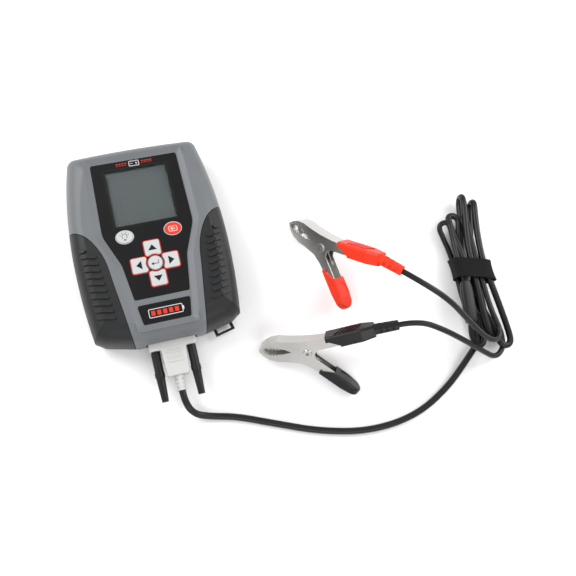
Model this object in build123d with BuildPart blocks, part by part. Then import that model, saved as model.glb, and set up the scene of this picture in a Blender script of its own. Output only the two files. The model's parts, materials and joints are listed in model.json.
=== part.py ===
"""Hand-held battery tester with a plug-in cable, two clamp clips and a tied hank of spare cable.

Frame: the tester lies on its back on z = 0, its face up.  +X is the tester's right, +Y runs
towards its screen end and +Z out of its face.  The origin is the centre of the case's outline.
All sizes are in millimetres and all angles in degrees.
"""

import os
from math import acos, cos, pi, radians, sin, tan

from build123d import *

os.makedirs("parts", exist_ok=True)

# ---------------------------------------------------------------- case: overall sizes
BODY_WIDTH = 144.4
BODY_LENGTH = 188.0
BODY_HEIGHT = 48.6
SPLIT_HEIGHT = 22.0  # joint between the rear and the front cover
WALL = 2.5
GRIP_THICKNESS = 3.4  # rubber side grip, measured through its wall
GRIP_GAP = 0.5  # dark groove round each grip
TOP_NARROWING = 11.6  # how much less than half the width the case is at the screen end
BOTTOM_NARROWING = 5.0
CASE_CORNER = 7.0
END_BOW = 1.6  # how far the screen end bows out
FOOT_STEP = 5.0  # how far the plug end's middle stands out past its corners

# ---------------------------------------------------------------- face
FACE_DEPTH = 2.6  # face floor below the ridges
FACE_BEVEL = 5.0  # width of the slope from the ridge down to the face
FACE_TOP_MARGIN = 15.5
FACE_HALF_WIDTH = 42.6
FACE_LOWER_HALF_WIDTH = 22.6
FACE_WAIST = 30.6  # half width where the face narrows below the arrow keys
OVERLAY_THICKNESS = 0.7
OVERLAY_CLEARANCE = 0.15
SHEET_CORNER = 2.0
SCREEN_WIDTH = 60.0
SCREEN_LENGTH = 57.5
SCREEN_TOP_MARGIN = 23.5
WINDOW_THICKNESS = 1.2
WINDOW_LEDGE = 2.0
PLATE_TOP_WIDTH = 48.0
PLATE_BOTTOM_WIDTH = 42.6
PLATE_LENGTH = 18.2
PLATE_GAP = 5.4

# ---------------------------------------------------------------- keys
OVAL_KEY_WIDTH = 15.0
OVAL_KEY_LENGTH = 11.4
OVAL_KEY_OFFSET = 22.0
OVAL_KEY_DROP = 9.0  # below the screen
PAD_DROP = 29.0  # from the oval keys to the centre of the arrow pad
ENTER_DIAMETER = 12.6
ARROW_SIZE = 14.2
ARROW_INNER_RADIUS = 8.5
ARROW_INNER_REACH = 7.4
ARROW_OUTER_REACH = 21.4
KEY_CORNER = 1.8
KEY_CLEARANCE = 0.35
KEY_RISE = 0.9
KEY_FLANGE = 1.2
DOME_SHEET_WIDTH = 66.0
PANEL_BELOW_PAD = 31.0  # from the pad's centre to the overlay's lower edge

# ---------------------------------------------------------------- electronics
ROOF_THICKNESS = 2.5
BOARD_WIDTH = 80.0
BOARD_LENGTH = 150.0
BOARD_THICKNESS = 1.6
BOARD_HEIGHT = 32.0
POST_RADIUS = 3.2
SCREW_RADIUS = 1.5
BOSS_RADIUS = 4.2
BOSS_X = 50.0
BOSS_END_MARGIN = 19.0
SCREW_HEAD_RADIUS = 2.8
SCREW_HEAD_HEIGHT = 2.0
CASE_SCREW_BITE = 8.0

# ---------------------------------------------------------------- battery compartment
CELL_DIAMETER = 14.3
CELL_LENGTH = 50.2
CELL_COUNT = 6
CELL_PITCH = 15.0
CELL_END_ROOM = 3.4
COMPARTMENT_WALL = 1.6
DOOR_THICKNESS = 1.9
DOOR_RECESS = 0.4  # how far the door lies above the resting surface
DOOR_CLEARANCE = 0.35
DOOR_OVERLAP = 3.0
DOOR_TRAVEL = 8.0

# ---------------------------------------------------------------- data plug
PLUG_HEIGHT = 17.0  # height of the plug's axis above the surface
PLUG_RECESS = 5.0
JACK_SPACING = 33.32
SHELL_WIDTH = 25.0
SHELL_THICKNESS = 8.4
FLANGE_WIDTH = 39.2
FLANGE_THICKNESS = 12.4
HOOD_WIDTH = 43.6
HOOD_THICKNESS = 15.6
HOOD_HEAD_LENGTH = 11.0
HOOD_LENGTH = 36.5
HOOD_NECK_WIDTH = 23.0
HOOD_TAIL_WIDTH = 20.0
HOOD_WALL = 1.8
THUMB_RADIUS = 4.6
THUMB_TIP_RADIUS = 3.1
THUMB_LENGTH = 46.0
THUMB_CLEARANCE = 0.35
RELIEF_RADIUS = 4.9
RELIEF_LENGTH = 14.0

# ---------------------------------------------------------------- cords
MAIN_DIAMETER = 6.4
LEAD_DIAMETER = 5.4
MAIN_ROUTE = [
    (0.0, -139.8, 17.0), (0.0, -151.0, 17.0), (6.5, -163.0, 9.0), (22.0, -168.0, 3.5),
    (44.0, -173.5, 3.3), (76.0, -187.5, 3.3), (118.0, -205.5, 3.3), (165.0, -216.5, 3.3),
    (212.0, -213.0, 3.3), (250.0, -195.0, 3.6), (279.0, -171.5, 6.0), (298.0, -154.0, 10.0),
]
RED_ROUTE = [
    (212.7, -86.5, 75.8), (227.0, -102.3, 81.1), (250.0, -121.0, 72.0), (272.0, -141.0, 50.0),
    (290.0, -157.0, 33.0), (305.0, -163.5, 24.0), (314.0, -154.0, 20.0),
]
BLACK_ROUTE = [
    (202.8, -130.1, 52.7), (222.6, -131.1, 55.5), (246.0, -144.0, 50.0), (268.0, -156.5, 36.0),
    (287.0, -168.0, 23.0), (304.0, -178.0, 12.0), (316.0, -171.0, 9.0), (319.0, -160.0, 9.0),
]

# ---------------------------------------------------------------- clips
CLIP_WIDTH = 15.0
CLIP_SHEET = 1.0
CLIP_SIDE_GAP = 0.45
JAW_LENGTH = 46.0
UPPER_ARM_ANGLE = 17.0
LOWER_ARM_ANGLE = 36.0
ARM_LENGTH = 50.0
ARM_START = 20.0
ARM_DEPTH = 8.0
RIVET_RADIUS = 2.0
RIVET_HEAD_RADIUS = 4.2
RIVET_HEAD_HEIGHT = 1.3
JAW_GAP = 0.3  # each jaw's edge stands this far off the line where they meet
MOUTH_DEPTH = 4.8  # half height of the lens-shaped opening between the cheeks
TOOTH_PITCH = 3.0
TOOTH_COUNT = 5
BOOT_WALL = 1.5
BOOT_LIFT = 5.2  # boot's axis above the line of its arm
BOOT_LENGTH = 46.0
BOOT_BLOCK_LENGTH = 34.0
BOOT_TAIL_RADIUS = 5.4
BOOT_TAIL_LENGTH = 22.0
BOOT_RIB_COUNT = 5
RELIEF_SLOT_COUNT = 3
SLEEVE_WALL = 1.6
SLEEVE_LIFT = 5.2
SLEEVE_DEPTH = 11.2
SLEEVE_LENGTH = 43.0
SLEEVE_DISH_DEPTH = 0.7
NOTCH_LENGTH = 13.0  # how far each cheek's pointed end runs into the soft part's side

half_width = BODY_WIDTH / 2
half_length = BODY_LENGTH / 2
face_height = BODY_HEIGHT - FACE_DEPTH
overlay_floor = face_height - OVERLAY_THICKNESS
roof_height = overlay_floor - ROOF_THICKNESS
screen_top = half_length - SCREEN_TOP_MARGIN
screen_centre = screen_top - SCREEN_LENGTH / 2
screen_bottom = screen_top - SCREEN_LENGTH
oval_row = screen_bottom - OVAL_KEY_DROP
pad_centre = oval_row - PAD_DROP
panel_bottom = pad_centre - PANEL_BELOW_PAD
plate_top = panel_bottom - PLATE_GAP
plate_bottom = plate_top - PLATE_LENGTH
face_top = half_length - FACE_TOP_MARGIN


def finish(piece, name):
    """Label a finished piece and write it to its file."""
    piece.part.label = name
    export_step(piece.part, f"parts/{name}.step")


# ================================================================ case form
# Height and inset of each level of the rounded form, from the back to the face.
FORM_LEVELS = [
    (0.0, 5.6), (3.0, 2.6), (9.0, 0.9), (SPLIT_HEIGHT, 0.0), (33.0, 1.2),
    (BODY_HEIGHT - 9.0, 3.6), (BODY_HEIGHT - 3.6, 8.6), (BODY_HEIGHT, 16.0),
]


def case_outline(inset):
    """Plan outline of the case, moved inwards by inset."""
    top_x = half_width - TOP_NARROWING - inset
    top_y = half_length - END_BOW - inset
    foot_x = half_width - BOTTOM_NARROWING - inset
    foot_y = -half_length + 12.0 + inset
    step_x = 31.0 - inset * 0.4
    side_x = half_width - inset
    with BuildSketch(mode=Mode.PRIVATE) as plan:
        with BuildLine():
            ThreePointArc((-top_x, top_y), (0, half_length - inset), (top_x, top_y))
            ThreePointArc((top_x, top_y), (half_width - 3.4 - inset, half_length * 0.5), (side_x, 0))
            ThreePointArc((side_x, 0), (side_x - 0.9, -half_length * 0.42), (foot_x, foot_y))
            Line((foot_x, foot_y), (foot_x - 8.0, -half_length + FOOT_STEP + inset + 1.6))
            Line((foot_x - 8.0, -half_length + FOOT_STEP + inset + 1.6), (step_x, -half_length + inset))
            Line((step_x, -half_length + inset), (-step_x, -half_length + inset))
            Line((-step_x, -half_length + inset), (8.0 - foot_x, -half_length + FOOT_STEP + inset + 1.6))
            Line((8.0 - foot_x, -half_length + FOOT_STEP + inset + 1.6), (-foot_x, foot_y))
            ThreePointArc((-foot_x, foot_y), (0.9 - side_x, -half_length * 0.42), (-side_x, 0))
            ThreePointArc((-side_x, 0), (3.4 + inset - half_width, half_length * 0.5), (-top_x, top_y))
        make_face()
        top_corners = plan.vertices().group_by(Axis.Y)[-1]
        fillet(top_corners, CASE_CORNER)
    return plan.sketch


def case_form(shrink):
    """The whole rounded form of the case, made smaller all round by shrink."""
    with BuildPart() as form:
        for height, inset in FORM_LEVELS:
            level = shrink + height * (BODY_HEIGHT - 2 * shrink) / BODY_HEIGHT
            with BuildSketch(Plane.XY.offset(level)):
                add(case_outline(inset + shrink))
        loft()
    return form.part


def grip_region(margin):
    """Plan region that the right-hand grip covers, moved inwards by margin."""
    edge = [
        (half_width + 12, 19.4), (64.0, 16.6), (55.0, 9.5), (47.5, -2.0), (42.5, -16.0),
        (40.0, -34.0), (37.6, -52.0), (34.8, -74.0), (31.0, -half_length - 14),
    ]
    with BuildSketch(mode=Mode.PRIVATE) as region:
        with BuildLine():
            Spline([(x + margin, y - margin) for x, y in edge])
            Polyline(
                (edge[-1][0] + margin, edge[-1][1] - margin),
                (half_width + 12 + margin, -half_length - 14 - margin),
                (edge[0][0] + margin, edge[0][1] - margin),
            )
        make_face()
    return region.sketch


def grip_prism(margin, base):
    """Both grips' plan regions, raised from base to above the case."""
    with BuildPart() as prism:
        with BuildSketch(Plane.XY.offset(base)):
            add(grip_region(margin))
        extrude(amount=BODY_HEIGHT + 10)
        mirror(about=Plane.YZ)
    return prism.part


GRIP_BASE = 6.0
RIB_RISE = 1.5
outer_form = case_form(0)
grip_seat = case_form(GRIP_THICKNESS)
inner_form = case_form(GRIP_THICKNESS + WALL)
rib_form = case_form(-RIB_RISE)


def face_outline(margin):
    """The sunk face: wide beside the screen, narrow at the name plate."""
    top = face_top + margin
    bottom = plate_bottom - 1.0 - margin
    wide = FACE_HALF_WIDTH + margin
    waist = FACE_WAIST + margin
    foot = FACE_LOWER_HALF_WIDTH + margin
    Polygon(
        (wide - 1.6, top), (wide, pad_centre + 33.0), (waist, pad_centre + 3.0), (foot, bottom),
        (-foot, bottom), (-waist, pad_centre + 3.0), (-wide, pad_centre + 33.0), (1.6 - wide, top),
        align=None,
    )


def face_corners(sketch, radius, bend):
    """Round the face outline's end corners and its long bends."""
    rows = sketch.vertices().group_by(Axis.Y)
    fillet(rows[0] + rows[-1], radius)
    middle = [v for v in sketch.vertices() if abs(v.Y - pad_centre - 3.0) < 0.01]
    middle += [v for v in sketch.vertices() if abs(v.Y - pad_centre - 33.0) < 0.01]
    fillet(middle, bend)


# ---------------------------------------------------------------- key outlines
def arrow_outline(angle, grow):
    """One arrow key, hollowed towards the centre key, turned about the pad's centre."""
    length = ARROW_OUTER_REACH - ARROW_INNER_REACH
    with BuildSketch(mode=Mode.PRIVATE) as key:
        with Locations((0, ARROW_INNER_REACH + length / 2)):
            RectangleRounded(ARROW_SIZE + 2 * grow, length + 2 * grow, KEY_CORNER + grow)
        Circle(ARROW_INNER_RADIUS - grow, mode=Mode.SUBTRACT)
    with Locations(Location((0, pad_centre, 0), angle)):
        add(key.sketch)


KEY_PLACES = {
    "key_light": (-OVAL_KEY_OFFSET, oval_row),
    "key_escape": (OVAL_KEY_OFFSET, oval_row),
    "key_enter": (0.0, pad_centre),
    "key_up": 0.0,
    "key_left": 90.0,
    "key_down": 180.0,
    "key_right": 270.0,
}


def key_outline(name, grow):
    """Outline of a named key, made larger all round by grow."""
    place = KEY_PLACES[name]
    if name == "key_enter":
        with Locations(place):
            Circle(ENTER_DIAMETER / 2 + grow)
    elif name in ("key_light", "key_escape"):
        with Locations(place):
            Ellipse(OVAL_KEY_WIDTH / 2 + grow, OVAL_KEY_LENGTH / 2 + grow)
    else:
        arrow_outline(place, grow)


def key_flange(name):
    """Flange that keeps a key under the roof; an arrow key's is at its outer end only."""
    place = KEY_PLACES[name]
    if isinstance(place, tuple):
        key_outline(name, KEY_FLANGE)
        return
    middle = (ARROW_INNER_REACH + ARROW_OUTER_REACH) / 2
    with BuildSketch(mode=Mode.PRIVATE) as flange:
        with Locations((0, (middle + ARROW_OUTER_REACH + KEY_FLANGE) / 2)):
            Rectangle(ARROW_SIZE + 2 * KEY_FLANGE, ARROW_OUTER_REACH + KEY_FLANGE - middle)
    with Locations(Location((0, pad_centre, 0), place)):
        add(flange.sketch)


# ================================================================ covers
boss_places = [
    (x, y) for x in (-BOSS_X, BOSS_X)
    for y in (-half_length + BOSS_END_MARGIN, half_length - BOSS_END_MARGIN)
]
post_places = [
    (x, y) for x in (-BOARD_WIDTH / 2 + 3.4, BOARD_WIDTH / 2 - 3.4)
    for y in (-BOARD_LENGTH / 2 + 8, BOARD_LENGTH / 2 - 12)
]
compartment_length = CELL_COUNT * CELL_PITCH + 1.5
compartment_width = CELL_LENGTH + CELL_END_ROOM
compartment_top = DOOR_RECESS + DOOR_THICKNESS + 1.4 + CELL_DIAMETER + 0.8
door_width = compartment_width + 2 * DOOR_OVERLAP
door_length = compartment_length + 2 * DOOR_OVERLAP
ledge_height = DOOR_RECESS + DOOR_THICKNESS + 0.3
key_post_places = [(0.0, oval_row + 1.0)]
key_post_places += [(x, pad_centre + 16.0) for x in (-28.0, 28.0)]
key_post_places += [(x, pad_centre - 20.0) for x in (-22.0, 22.0)]
key_sheet_top = roof_height - 2.6
dome_sheet_end = pad_centre - ARROW_OUTER_REACH - 3.0

recess_floor = -half_length + PLUG_RECESS
jack_places = [(-JACK_SPACING / 2, PLUG_HEIGHT), (JACK_SPACING / 2, PLUG_HEIGHT)]


def end_plane(y):
    """Plane across the plug end at y, its x along the tester's +X and its normal along -Y."""
    return Plane(origin=(0, y, 0), x_dir=(1, 0, 0), z_dir=(0, -1, 0))


def make_case_shell():
    """The whole case in one piece, before it is cut into its two covers."""
    with BuildPart() as shell:
        add(outer_form)
        add(grip_prism(0.0, GRIP_BASE), mode=Mode.SUBTRACT)
        add(grip_seat)
        add(inner_form, mode=Mode.SUBTRACT)
        # thicker roof under the sunk face
        with BuildSketch(Plane.XY.offset(roof_height)) as roof:
            face_outline(FACE_BEVEL)
            face_corners(roof, 3.0, 22.0)
        extrude(amount=BODY_HEIGHT - roof_height - 0.4)
        # sunk face with its slope up to the ridges
        with BuildSketch(Plane.XY.offset(face_height)) as floor:
            face_outline(0.0)
            face_corners(floor, 3.0, 24.0)
        with BuildSketch(Plane.XY.offset(BODY_HEIGHT)) as rim:
            face_outline(FACE_BEVEL)
            face_corners(rim, 4.0, 24.0)
        loft(ruled=True, mode=Mode.SUBTRACT)
        with BuildSketch(Plane.XY.offset(BODY_HEIGHT - 0.01)) as clear:
            face_outline(FACE_BEVEL)
            face_corners(clear, 4.0, 24.0)
        extrude(amount=5, mode=Mode.SUBTRACT)
    return shell.part


def overlay_outline(margin):
    """The black keypad sheet, which follows the sunk face down to the lower edge of the pad."""
    side = 1.0 + margin
    wide = FACE_HALF_WIDTH - side
    waist = FACE_WAIST - side
    slope = (FACE_WAIST - FACE_LOWER_HALF_WIDTH) / (pad_centre + 3.0 - plate_bottom + 1.0)
    foot = waist - slope * (pad_centre + 3.0 - panel_bottom)
    top = face_top - side
    bottom = panel_bottom + margin
    Polygon(
        (wide - 1.6, top), (wide, pad_centre + 33.0), (waist, pad_centre + 3.0), (foot, bottom),
        (-foot, bottom), (-waist, pad_centre + 3.0), (-wide, pad_centre + 33.0), (1.6 - wide, top),
        align=None,
    )


def plate_outline(margin):
    """The name plate: a little narrower at its lower edge."""
    top_x = PLATE_TOP_WIDTH / 2 - margin
    bottom_x = PLATE_BOTTOM_WIDTH / 2 - margin
    Polygon(
        (top_x, plate_top - margin), (bottom_x, plate_bottom + margin),
        (-bottom_x, plate_bottom + margin), (-top_x, plate_top - margin), align=None,
    )


def front_bosses():
    """Bosses under the front cover's roof that the case screws bite into."""
    with BuildPart() as bosses:
        with BuildSketch(Plane.XY.offset(SPLIT_HEIGHT)):
            with Locations(*boss_places):
                Circle(BOSS_RADIUS)
        extrude(amount=BODY_HEIGHT - SPLIT_HEIGHT)
        add(grip_seat, mode=Mode.INTERSECT)
        with BuildSketch(Plane.XY.offset(SPLIT_HEIGHT - 1)):
            with Locations(*boss_places):
                Circle(SCREW_RADIUS)
        extrude(amount=CASE_SCREW_BITE + 2, mode=Mode.SUBTRACT)
    return bosses.part


def make_covers():
    """The front and the rear cover."""
    shell = make_case_shell()
    with BuildPart() as front:
        add(shell)
        with BuildSketch(Plane.XY.offset(-1)):
            Rectangle(BODY_WIDTH + 60, BODY_LENGTH + 60)
        extrude(amount=SPLIT_HEIGHT + 1, mode=Mode.SUBTRACT)
        with BuildSketch(Plane.XY.offset(overlay_floor)) as pocket:
            overlay_outline(0.0)
            face_corners(pocket, SHEET_CORNER, 24.0)
        extrude(amount=5, mode=Mode.SUBTRACT)
        with BuildSketch(Plane.XY.offset(overlay_floor)) as plate_pocket:
            plate_outline(0.0)
            fillet(plate_pocket.vertices(), SHEET_CORNER)
        extrude(amount=5, mode=Mode.SUBTRACT)
        with BuildSketch(Plane.XY.offset(overlay_floor - WINDOW_THICKNESS + 0.6)):
            with Locations((0, screen_centre)):
                Rectangle(SCREEN_WIDTH, SCREEN_LENGTH)
        extrude(amount=5, mode=Mode.SUBTRACT)
        with BuildSketch(Plane.XY.offset(roof_height - 1)):
            with Locations((0, screen_centre)):
                Rectangle(SCREEN_WIDTH - 2 * WINDOW_LEDGE, SCREEN_LENGTH - 2 * WINDOW_LEDGE)
        extrude(amount=8, mode=Mode.SUBTRACT)
        for name in KEY_PLACES:
            with BuildSketch(Plane.XY.offset(roof_height - 1)):
                key_outline(name, KEY_CLEARANCE)
            extrude(amount=8, mode=Mode.SUBTRACT)
        add(front_bosses())
        with BuildSketch(Plane.XY.offset(key_sheet_top)):
            with Locations(*key_post_places):
                Circle(2.2)
        extrude(amount=roof_height - key_sheet_top)
        add(plug_recess(), mode=Mode.SUBTRACT)
    with BuildPart() as rear:
        add(shell)
        with BuildSketch(Plane.XY.offset(SPLIT_HEIGHT)):
            Rectangle(BODY_WIDTH + 60, BODY_LENGTH + 60)
        extrude(amount=BODY_HEIGHT, mode=Mode.SUBTRACT)
        with BuildSketch(Plane.XY.offset(1.0)):
            Rectangle(door_width + 8, door_length + 2 * DOOR_TRAVEL + 6)
        extrude(amount=ledge_height + 0.6)
        with BuildSketch(Plane.XY.offset(1.0)):
            Rectangle(compartment_width + 2 * COMPARTMENT_WALL, compartment_length + 2 * COMPARTMENT_WALL)
        extrude(amount=compartment_top + COMPARTMENT_WALL - 1.0)
        with BuildSketch(Plane.XY.offset(-1)):
            Rectangle(compartment_width, compartment_length)
        extrude(amount=compartment_top + 1, mode=Mode.SUBTRACT)
        with BuildSketch(Plane.XY.offset(-1)):
            with Locations((0, -DOOR_TRAVEL / 2 - DOOR_CLEARANCE / 2)):
                Rectangle(
                    door_width + 2 * DOOR_CLEARANCE, door_length + DOOR_TRAVEL + 3 * DOOR_CLEARANCE
                )
        extrude(amount=ledge_height + 1, mode=Mode.SUBTRACT)
        with BuildSketch(Plane.XY.offset(1.0)):
            with Locations(*boss_places):
                Circle(BOSS_RADIUS)
        extrude(amount=SPLIT_HEIGHT - 1.0)
        with BuildSketch(Plane.XY.offset(1.0)):
            with Locations(*post_places):
                Circle(POST_RADIUS)
        extrude(amount=BOARD_HEIGHT - 1.0)
        with BuildSketch(Plane.XY):
            with Locations(*boss_places):
                Circle(SCREW_RADIUS + 0.2)
        extrude(amount=SPLIT_HEIGHT, mode=Mode.SUBTRACT)
        with BuildSketch(Plane.XY):
            with Locations(*boss_places):
                Circle(SCREW_HEAD_RADIUS + 0.5)
        extrude(amount=SCREW_HEAD_HEIGHT + 1.0, mode=Mode.SUBTRACT)
        with BuildSketch(Plane.XY.offset(BOARD_HEIGHT - 8)):
            with Locations(*post_places):
                Circle(1.1)
        extrude(amount=9, mode=Mode.SUBTRACT)
        add(strap_loop(LOOP_CLEARANCE), mode=Mode.SUBTRACT)
        add(plug_recess(), mode=Mode.SUBTRACT)
    finish(front, "front_cover")
    finish(rear, "rear_cover")
    with BuildPart() as loop:
        add(strap_loop(0.0))
        add(inner_form, mode=Mode.SUBTRACT)
    finish(loop, "strap_loop")


def plug_recess():
    """Space taken out of the end wall: recess, opening and jack holes for the plug."""
    with BuildPart() as space:
        with BuildSketch(end_plane(recess_floor)) as mouth:
            with Locations((0, PLUG_HEIGHT)):
                Rectangle(HOOD_WIDTH + 3.0, HOOD_THICKNESS + 2.4)
            fillet(mouth.vertices(), 2.5)
        extrude(amount=20)
        with BuildSketch(end_plane(recess_floor + 8)):
            with Locations((0, PLUG_HEIGHT)):
                Rectangle(SHELL_WIDTH + 1.0, SHELL_THICKNESS + 1.0)
            with Locations(*jack_places):
                Circle(2.9)
        extrude(amount=20)
    return space.part


LOOP_WIDTH = 19.0
LOOP_GAP = 5.4
LOOP_BAR = 1.9
LOOP_THICKNESS = 3.6
LOOP_BASE = 4.0
LOOP_TILT = 13.0
LOOP_CLEARANCE = 0.05
LOOP_PLACE = (50.5, -half_length + 4.0)


def strap_loop(grow):
    """Wrist-strap loop at the foot of the right-hand side; its inner bar is let into the wall."""
    with BuildPart() as loop:
        with BuildSketch(Plane.XY.offset(LOOP_BASE - grow)):
            with Locations(Location((*LOOP_PLACE, 0), LOOP_TILT)):
                Rectangle(LOOP_WIDTH + 2 * grow, LOOP_GAP + 2 * LOOP_BAR + 2 * grow)
                if grow == 0:
                    Rectangle(LOOP_WIDTH - 2 * LOOP_BAR - 1.4, LOOP_GAP, mode=Mode.SUBTRACT)
        extrude(amount=LOOP_THICKNESS + 2 * grow)
    return loop.part


# ================================================================ grips
RIB_COUNT = 11
RIB_PITCH = 6.4
RIB_WIDTH = 3.4
RIB_TILT = 12.0
RIB_BASE = 30.0  # the ribs start this high on the flank


def make_grip(name, side):
    """One rubber side grip with its row of finger ribs; side is 1 on the right, -1 on the left."""
    with BuildPart() as ribs:
        with BuildSketch(Plane.XY.offset(RIB_BASE)):
            for index in range(RIB_COUNT):
                y = -half_length + 28.0 + RIB_PITCH * index
                centre = 52.0 + 0.55 * index + (4.2 if index == RIB_COUNT - 1 else 0)
                length = 17.5 - 0.35 * index - (8.0 if index == RIB_COUNT - 1 else 0)
                with Locations(Location((centre, y, 0), RIB_TILT)):
                    SlotOverall(length, RIB_WIDTH)
        extrude(amount=BODY_HEIGHT)
        add(rib_form, mode=Mode.INTERSECT)
    with BuildPart() as grip:
        add(outer_form)
        add(grip_prism(GRIP_GAP, GRIP_BASE + GRIP_GAP), mode=Mode.INTERSECT)
        add(ribs.part)
        mirror(ribs.part, about=Plane.YZ)
        add(grip_seat, mode=Mode.SUBTRACT)
        with BuildSketch(Plane.XY.offset(-1)):
            with Locations((-side * (half_width + 40) / 2, 0)):
                Rectangle(half_width + 40, BODY_LENGTH + 80)
        extrude(amount=BODY_HEIGHT + 20, mode=Mode.SUBTRACT)
        with BuildSketch(Plane.XY.offset(LOOP_BASE - 0.4)):
            with Locations(Location((*LOOP_PLACE, 0), LOOP_TILT)):
                Rectangle(LOOP_WIDTH + 0.8, LOOP_GAP + 2 * LOOP_BAR + 0.8)
        extrude(amount=LOOP_THICKNESS + 0.8, mode=Mode.SUBTRACT)
    finish(grip, name)


# ================================================================ face sheets and display
def make_face_sheets():
    """Keypad overlay, name plate and clear window."""
    with BuildPart() as overlay:
        with BuildSketch(Plane.XY.offset(overlay_floor)) as sheet:
            overlay_outline(OVERLAY_CLEARANCE)
            face_corners(sheet, SHEET_CORNER, 24.0)
            with Locations((0, screen_centre)):
                Rectangle(SCREEN_WIDTH, SCREEN_LENGTH, mode=Mode.SUBTRACT)
        extrude(amount=OVERLAY_THICKNESS)
        for name in KEY_PLACES:
            with BuildSketch(Plane.XY.offset(overlay_floor)):
                key_outline(name, KEY_CLEARANCE)
            extrude(amount=OVERLAY_THICKNESS, mode=Mode.SUBTRACT)
    finish(overlay, "keypad_overlay")

    with BuildPart() as plate:
        with BuildSketch(Plane.XY.offset(overlay_floor)) as sheet:
            plate_outline(OVERLAY_CLEARANCE)
            fillet(sheet.vertices(), SHEET_CORNER)
        extrude(amount=OVERLAY_THICKNESS + 0.2)
    finish(plate, "name_plate")

    with BuildPart() as window:
        with BuildSketch(Plane.XY.offset(overlay_floor - WINDOW_THICKNESS + 0.6)):
            with Locations((0, screen_centre)):
                Rectangle(SCREEN_WIDTH - 0.3, SCREEN_LENGTH - 0.3)
        extrude(amount=WINDOW_THICKNESS)
    finish(window, "screen_window")


def make_display():
    """Liquid-crystal panel in its metal frame, on the main board."""
    frame_top = roof_height - 0.3
    board_top = BOARD_HEIGHT + BOARD_THICKNESS
    with BuildPart() as frame:
        with BuildSketch(Plane.XY.offset(board_top)):
            with Locations((0, screen_centre)):
                Rectangle(SCREEN_WIDTH + 5, SCREEN_LENGTH + 2.2)
        extrude(amount=frame_top - board_top)
        with BuildSketch(Plane.XY.offset(frame_top - 2.0)):
            with Locations((0, screen_centre)):
                Rectangle(SCREEN_WIDTH + 3, SCREEN_LENGTH + 1)
        extrude(amount=2.0, mode=Mode.SUBTRACT)
    finish(frame, "lcd_frame")
    with BuildPart() as panel:
        with BuildSketch(Plane.XY.offset(frame_top - 2.0)):
            with Locations((0, screen_centre)):
                Rectangle(SCREEN_WIDTH + 2.7, SCREEN_LENGTH + 0.7)
        extrude(amount=1.8)
    finish(panel, "lcd_panel")


# ================================================================ keys
def make_keys():
    """Seven rubber keys, each with a flange that keeps it under the roof."""
    for name in KEY_PLACES:
        with BuildPart() as key:
            with BuildSketch(Plane.XY.offset(roof_height - 0.9)):
                key_outline(name, 0.0)
            extrude(amount=face_height + KEY_RISE - roof_height + 0.9)
            fillet(key.edges().group_by(Axis.Z)[-1], 0.35)
            with BuildSketch(Plane.XY.offset(roof_height - 1.4)):
                key_flange(name)
            extrude(amount=1.1)
        finish(key, name)
    with BuildPart() as sheet:
        with BuildSketch(Plane.XY.offset(key_sheet_top - 0.8)):
            with Locations((0, (screen_bottom - 2.6 + dome_sheet_end) / 2)):
                Rectangle(DOME_SHEET_WIDTH, screen_bottom - 2.6 - dome_sheet_end)
        extrude(amount=0.8)
        with BuildSketch(Plane.XY.offset(key_sheet_top)):
            with Locations((-OVAL_KEY_OFFSET, oval_row), (OVAL_KEY_OFFSET, oval_row), (0, pad_centre)):
                Circle(3.0)
            with Locations(Location((0, pad_centre, 0))):
                with PolarLocations(14.5, 4):
                    Circle(3.0)
        extrude(amount=0.3)
    finish(sheet, "dome_sheet")


# ================================================================ electronics
def make_electronics():
    """Main board, its screws, load resistors and buzzer."""
    with BuildPart() as board:
        with BuildSketch(Plane.XY.offset(BOARD_HEIGHT)):
            Rectangle(BOARD_WIDTH, BOARD_LENGTH)
            with Locations(*post_places):
                Circle(1.4, mode=Mode.SUBTRACT)
        extrude(amount=BOARD_THICKNESS)
    finish(board, "main_board")

    board_top = BOARD_HEIGHT + BOARD_THICKNESS
    with BuildPart() as screws:
        with BuildSketch(Plane.XY.offset(BOARD_HEIGHT - 6)):
            with Locations(*post_places):
                Circle(1.1)
        extrude(amount=6 + BOARD_THICKNESS)
        with BuildSketch(Plane.XY.offset(board_top)):
            with Locations(*post_places):
                Circle(2.4)
        extrude(amount=1.6)
    finish(screws, "board_screws")

    with BuildPart() as resistors:
        with BuildSketch(Plane.XY.offset(BOARD_HEIGHT - 9)):
            with GridLocations(26, 0, 2, 1):
                with Locations((0, half_length - 34)):
                    Rectangle(22, 9)
        extrude(amount=9)
    finish(resistors, "load_resistors")

    with BuildPart() as buzzer:
        with BuildSketch(Plane.XY.offset(BOARD_HEIGHT - 8)):
            with Locations((18, -BOARD_LENGTH / 2 + 12)):
                Circle(6)
                Circle(1.2, mode=Mode.SUBTRACT)
        extrude(amount=8)
    finish(buzzer, "buzzer")

    with BuildPart() as screws:
        with BuildSketch(Plane.XY.offset(SCREW_HEAD_HEIGHT + 1.0)):
            with Locations(*boss_places):
                Circle(SCREW_RADIUS)
        extrude(amount=SPLIT_HEIGHT + CASE_SCREW_BITE - SCREW_HEAD_HEIGHT - 1.0)
        with BuildSketch(Plane.XY.offset(1.0)):
            with Locations(*boss_places):
                Circle(SCREW_HEAD_RADIUS)
        extrude(amount=SCREW_HEAD_HEIGHT)
    finish(screws, "case_screws")


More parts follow.
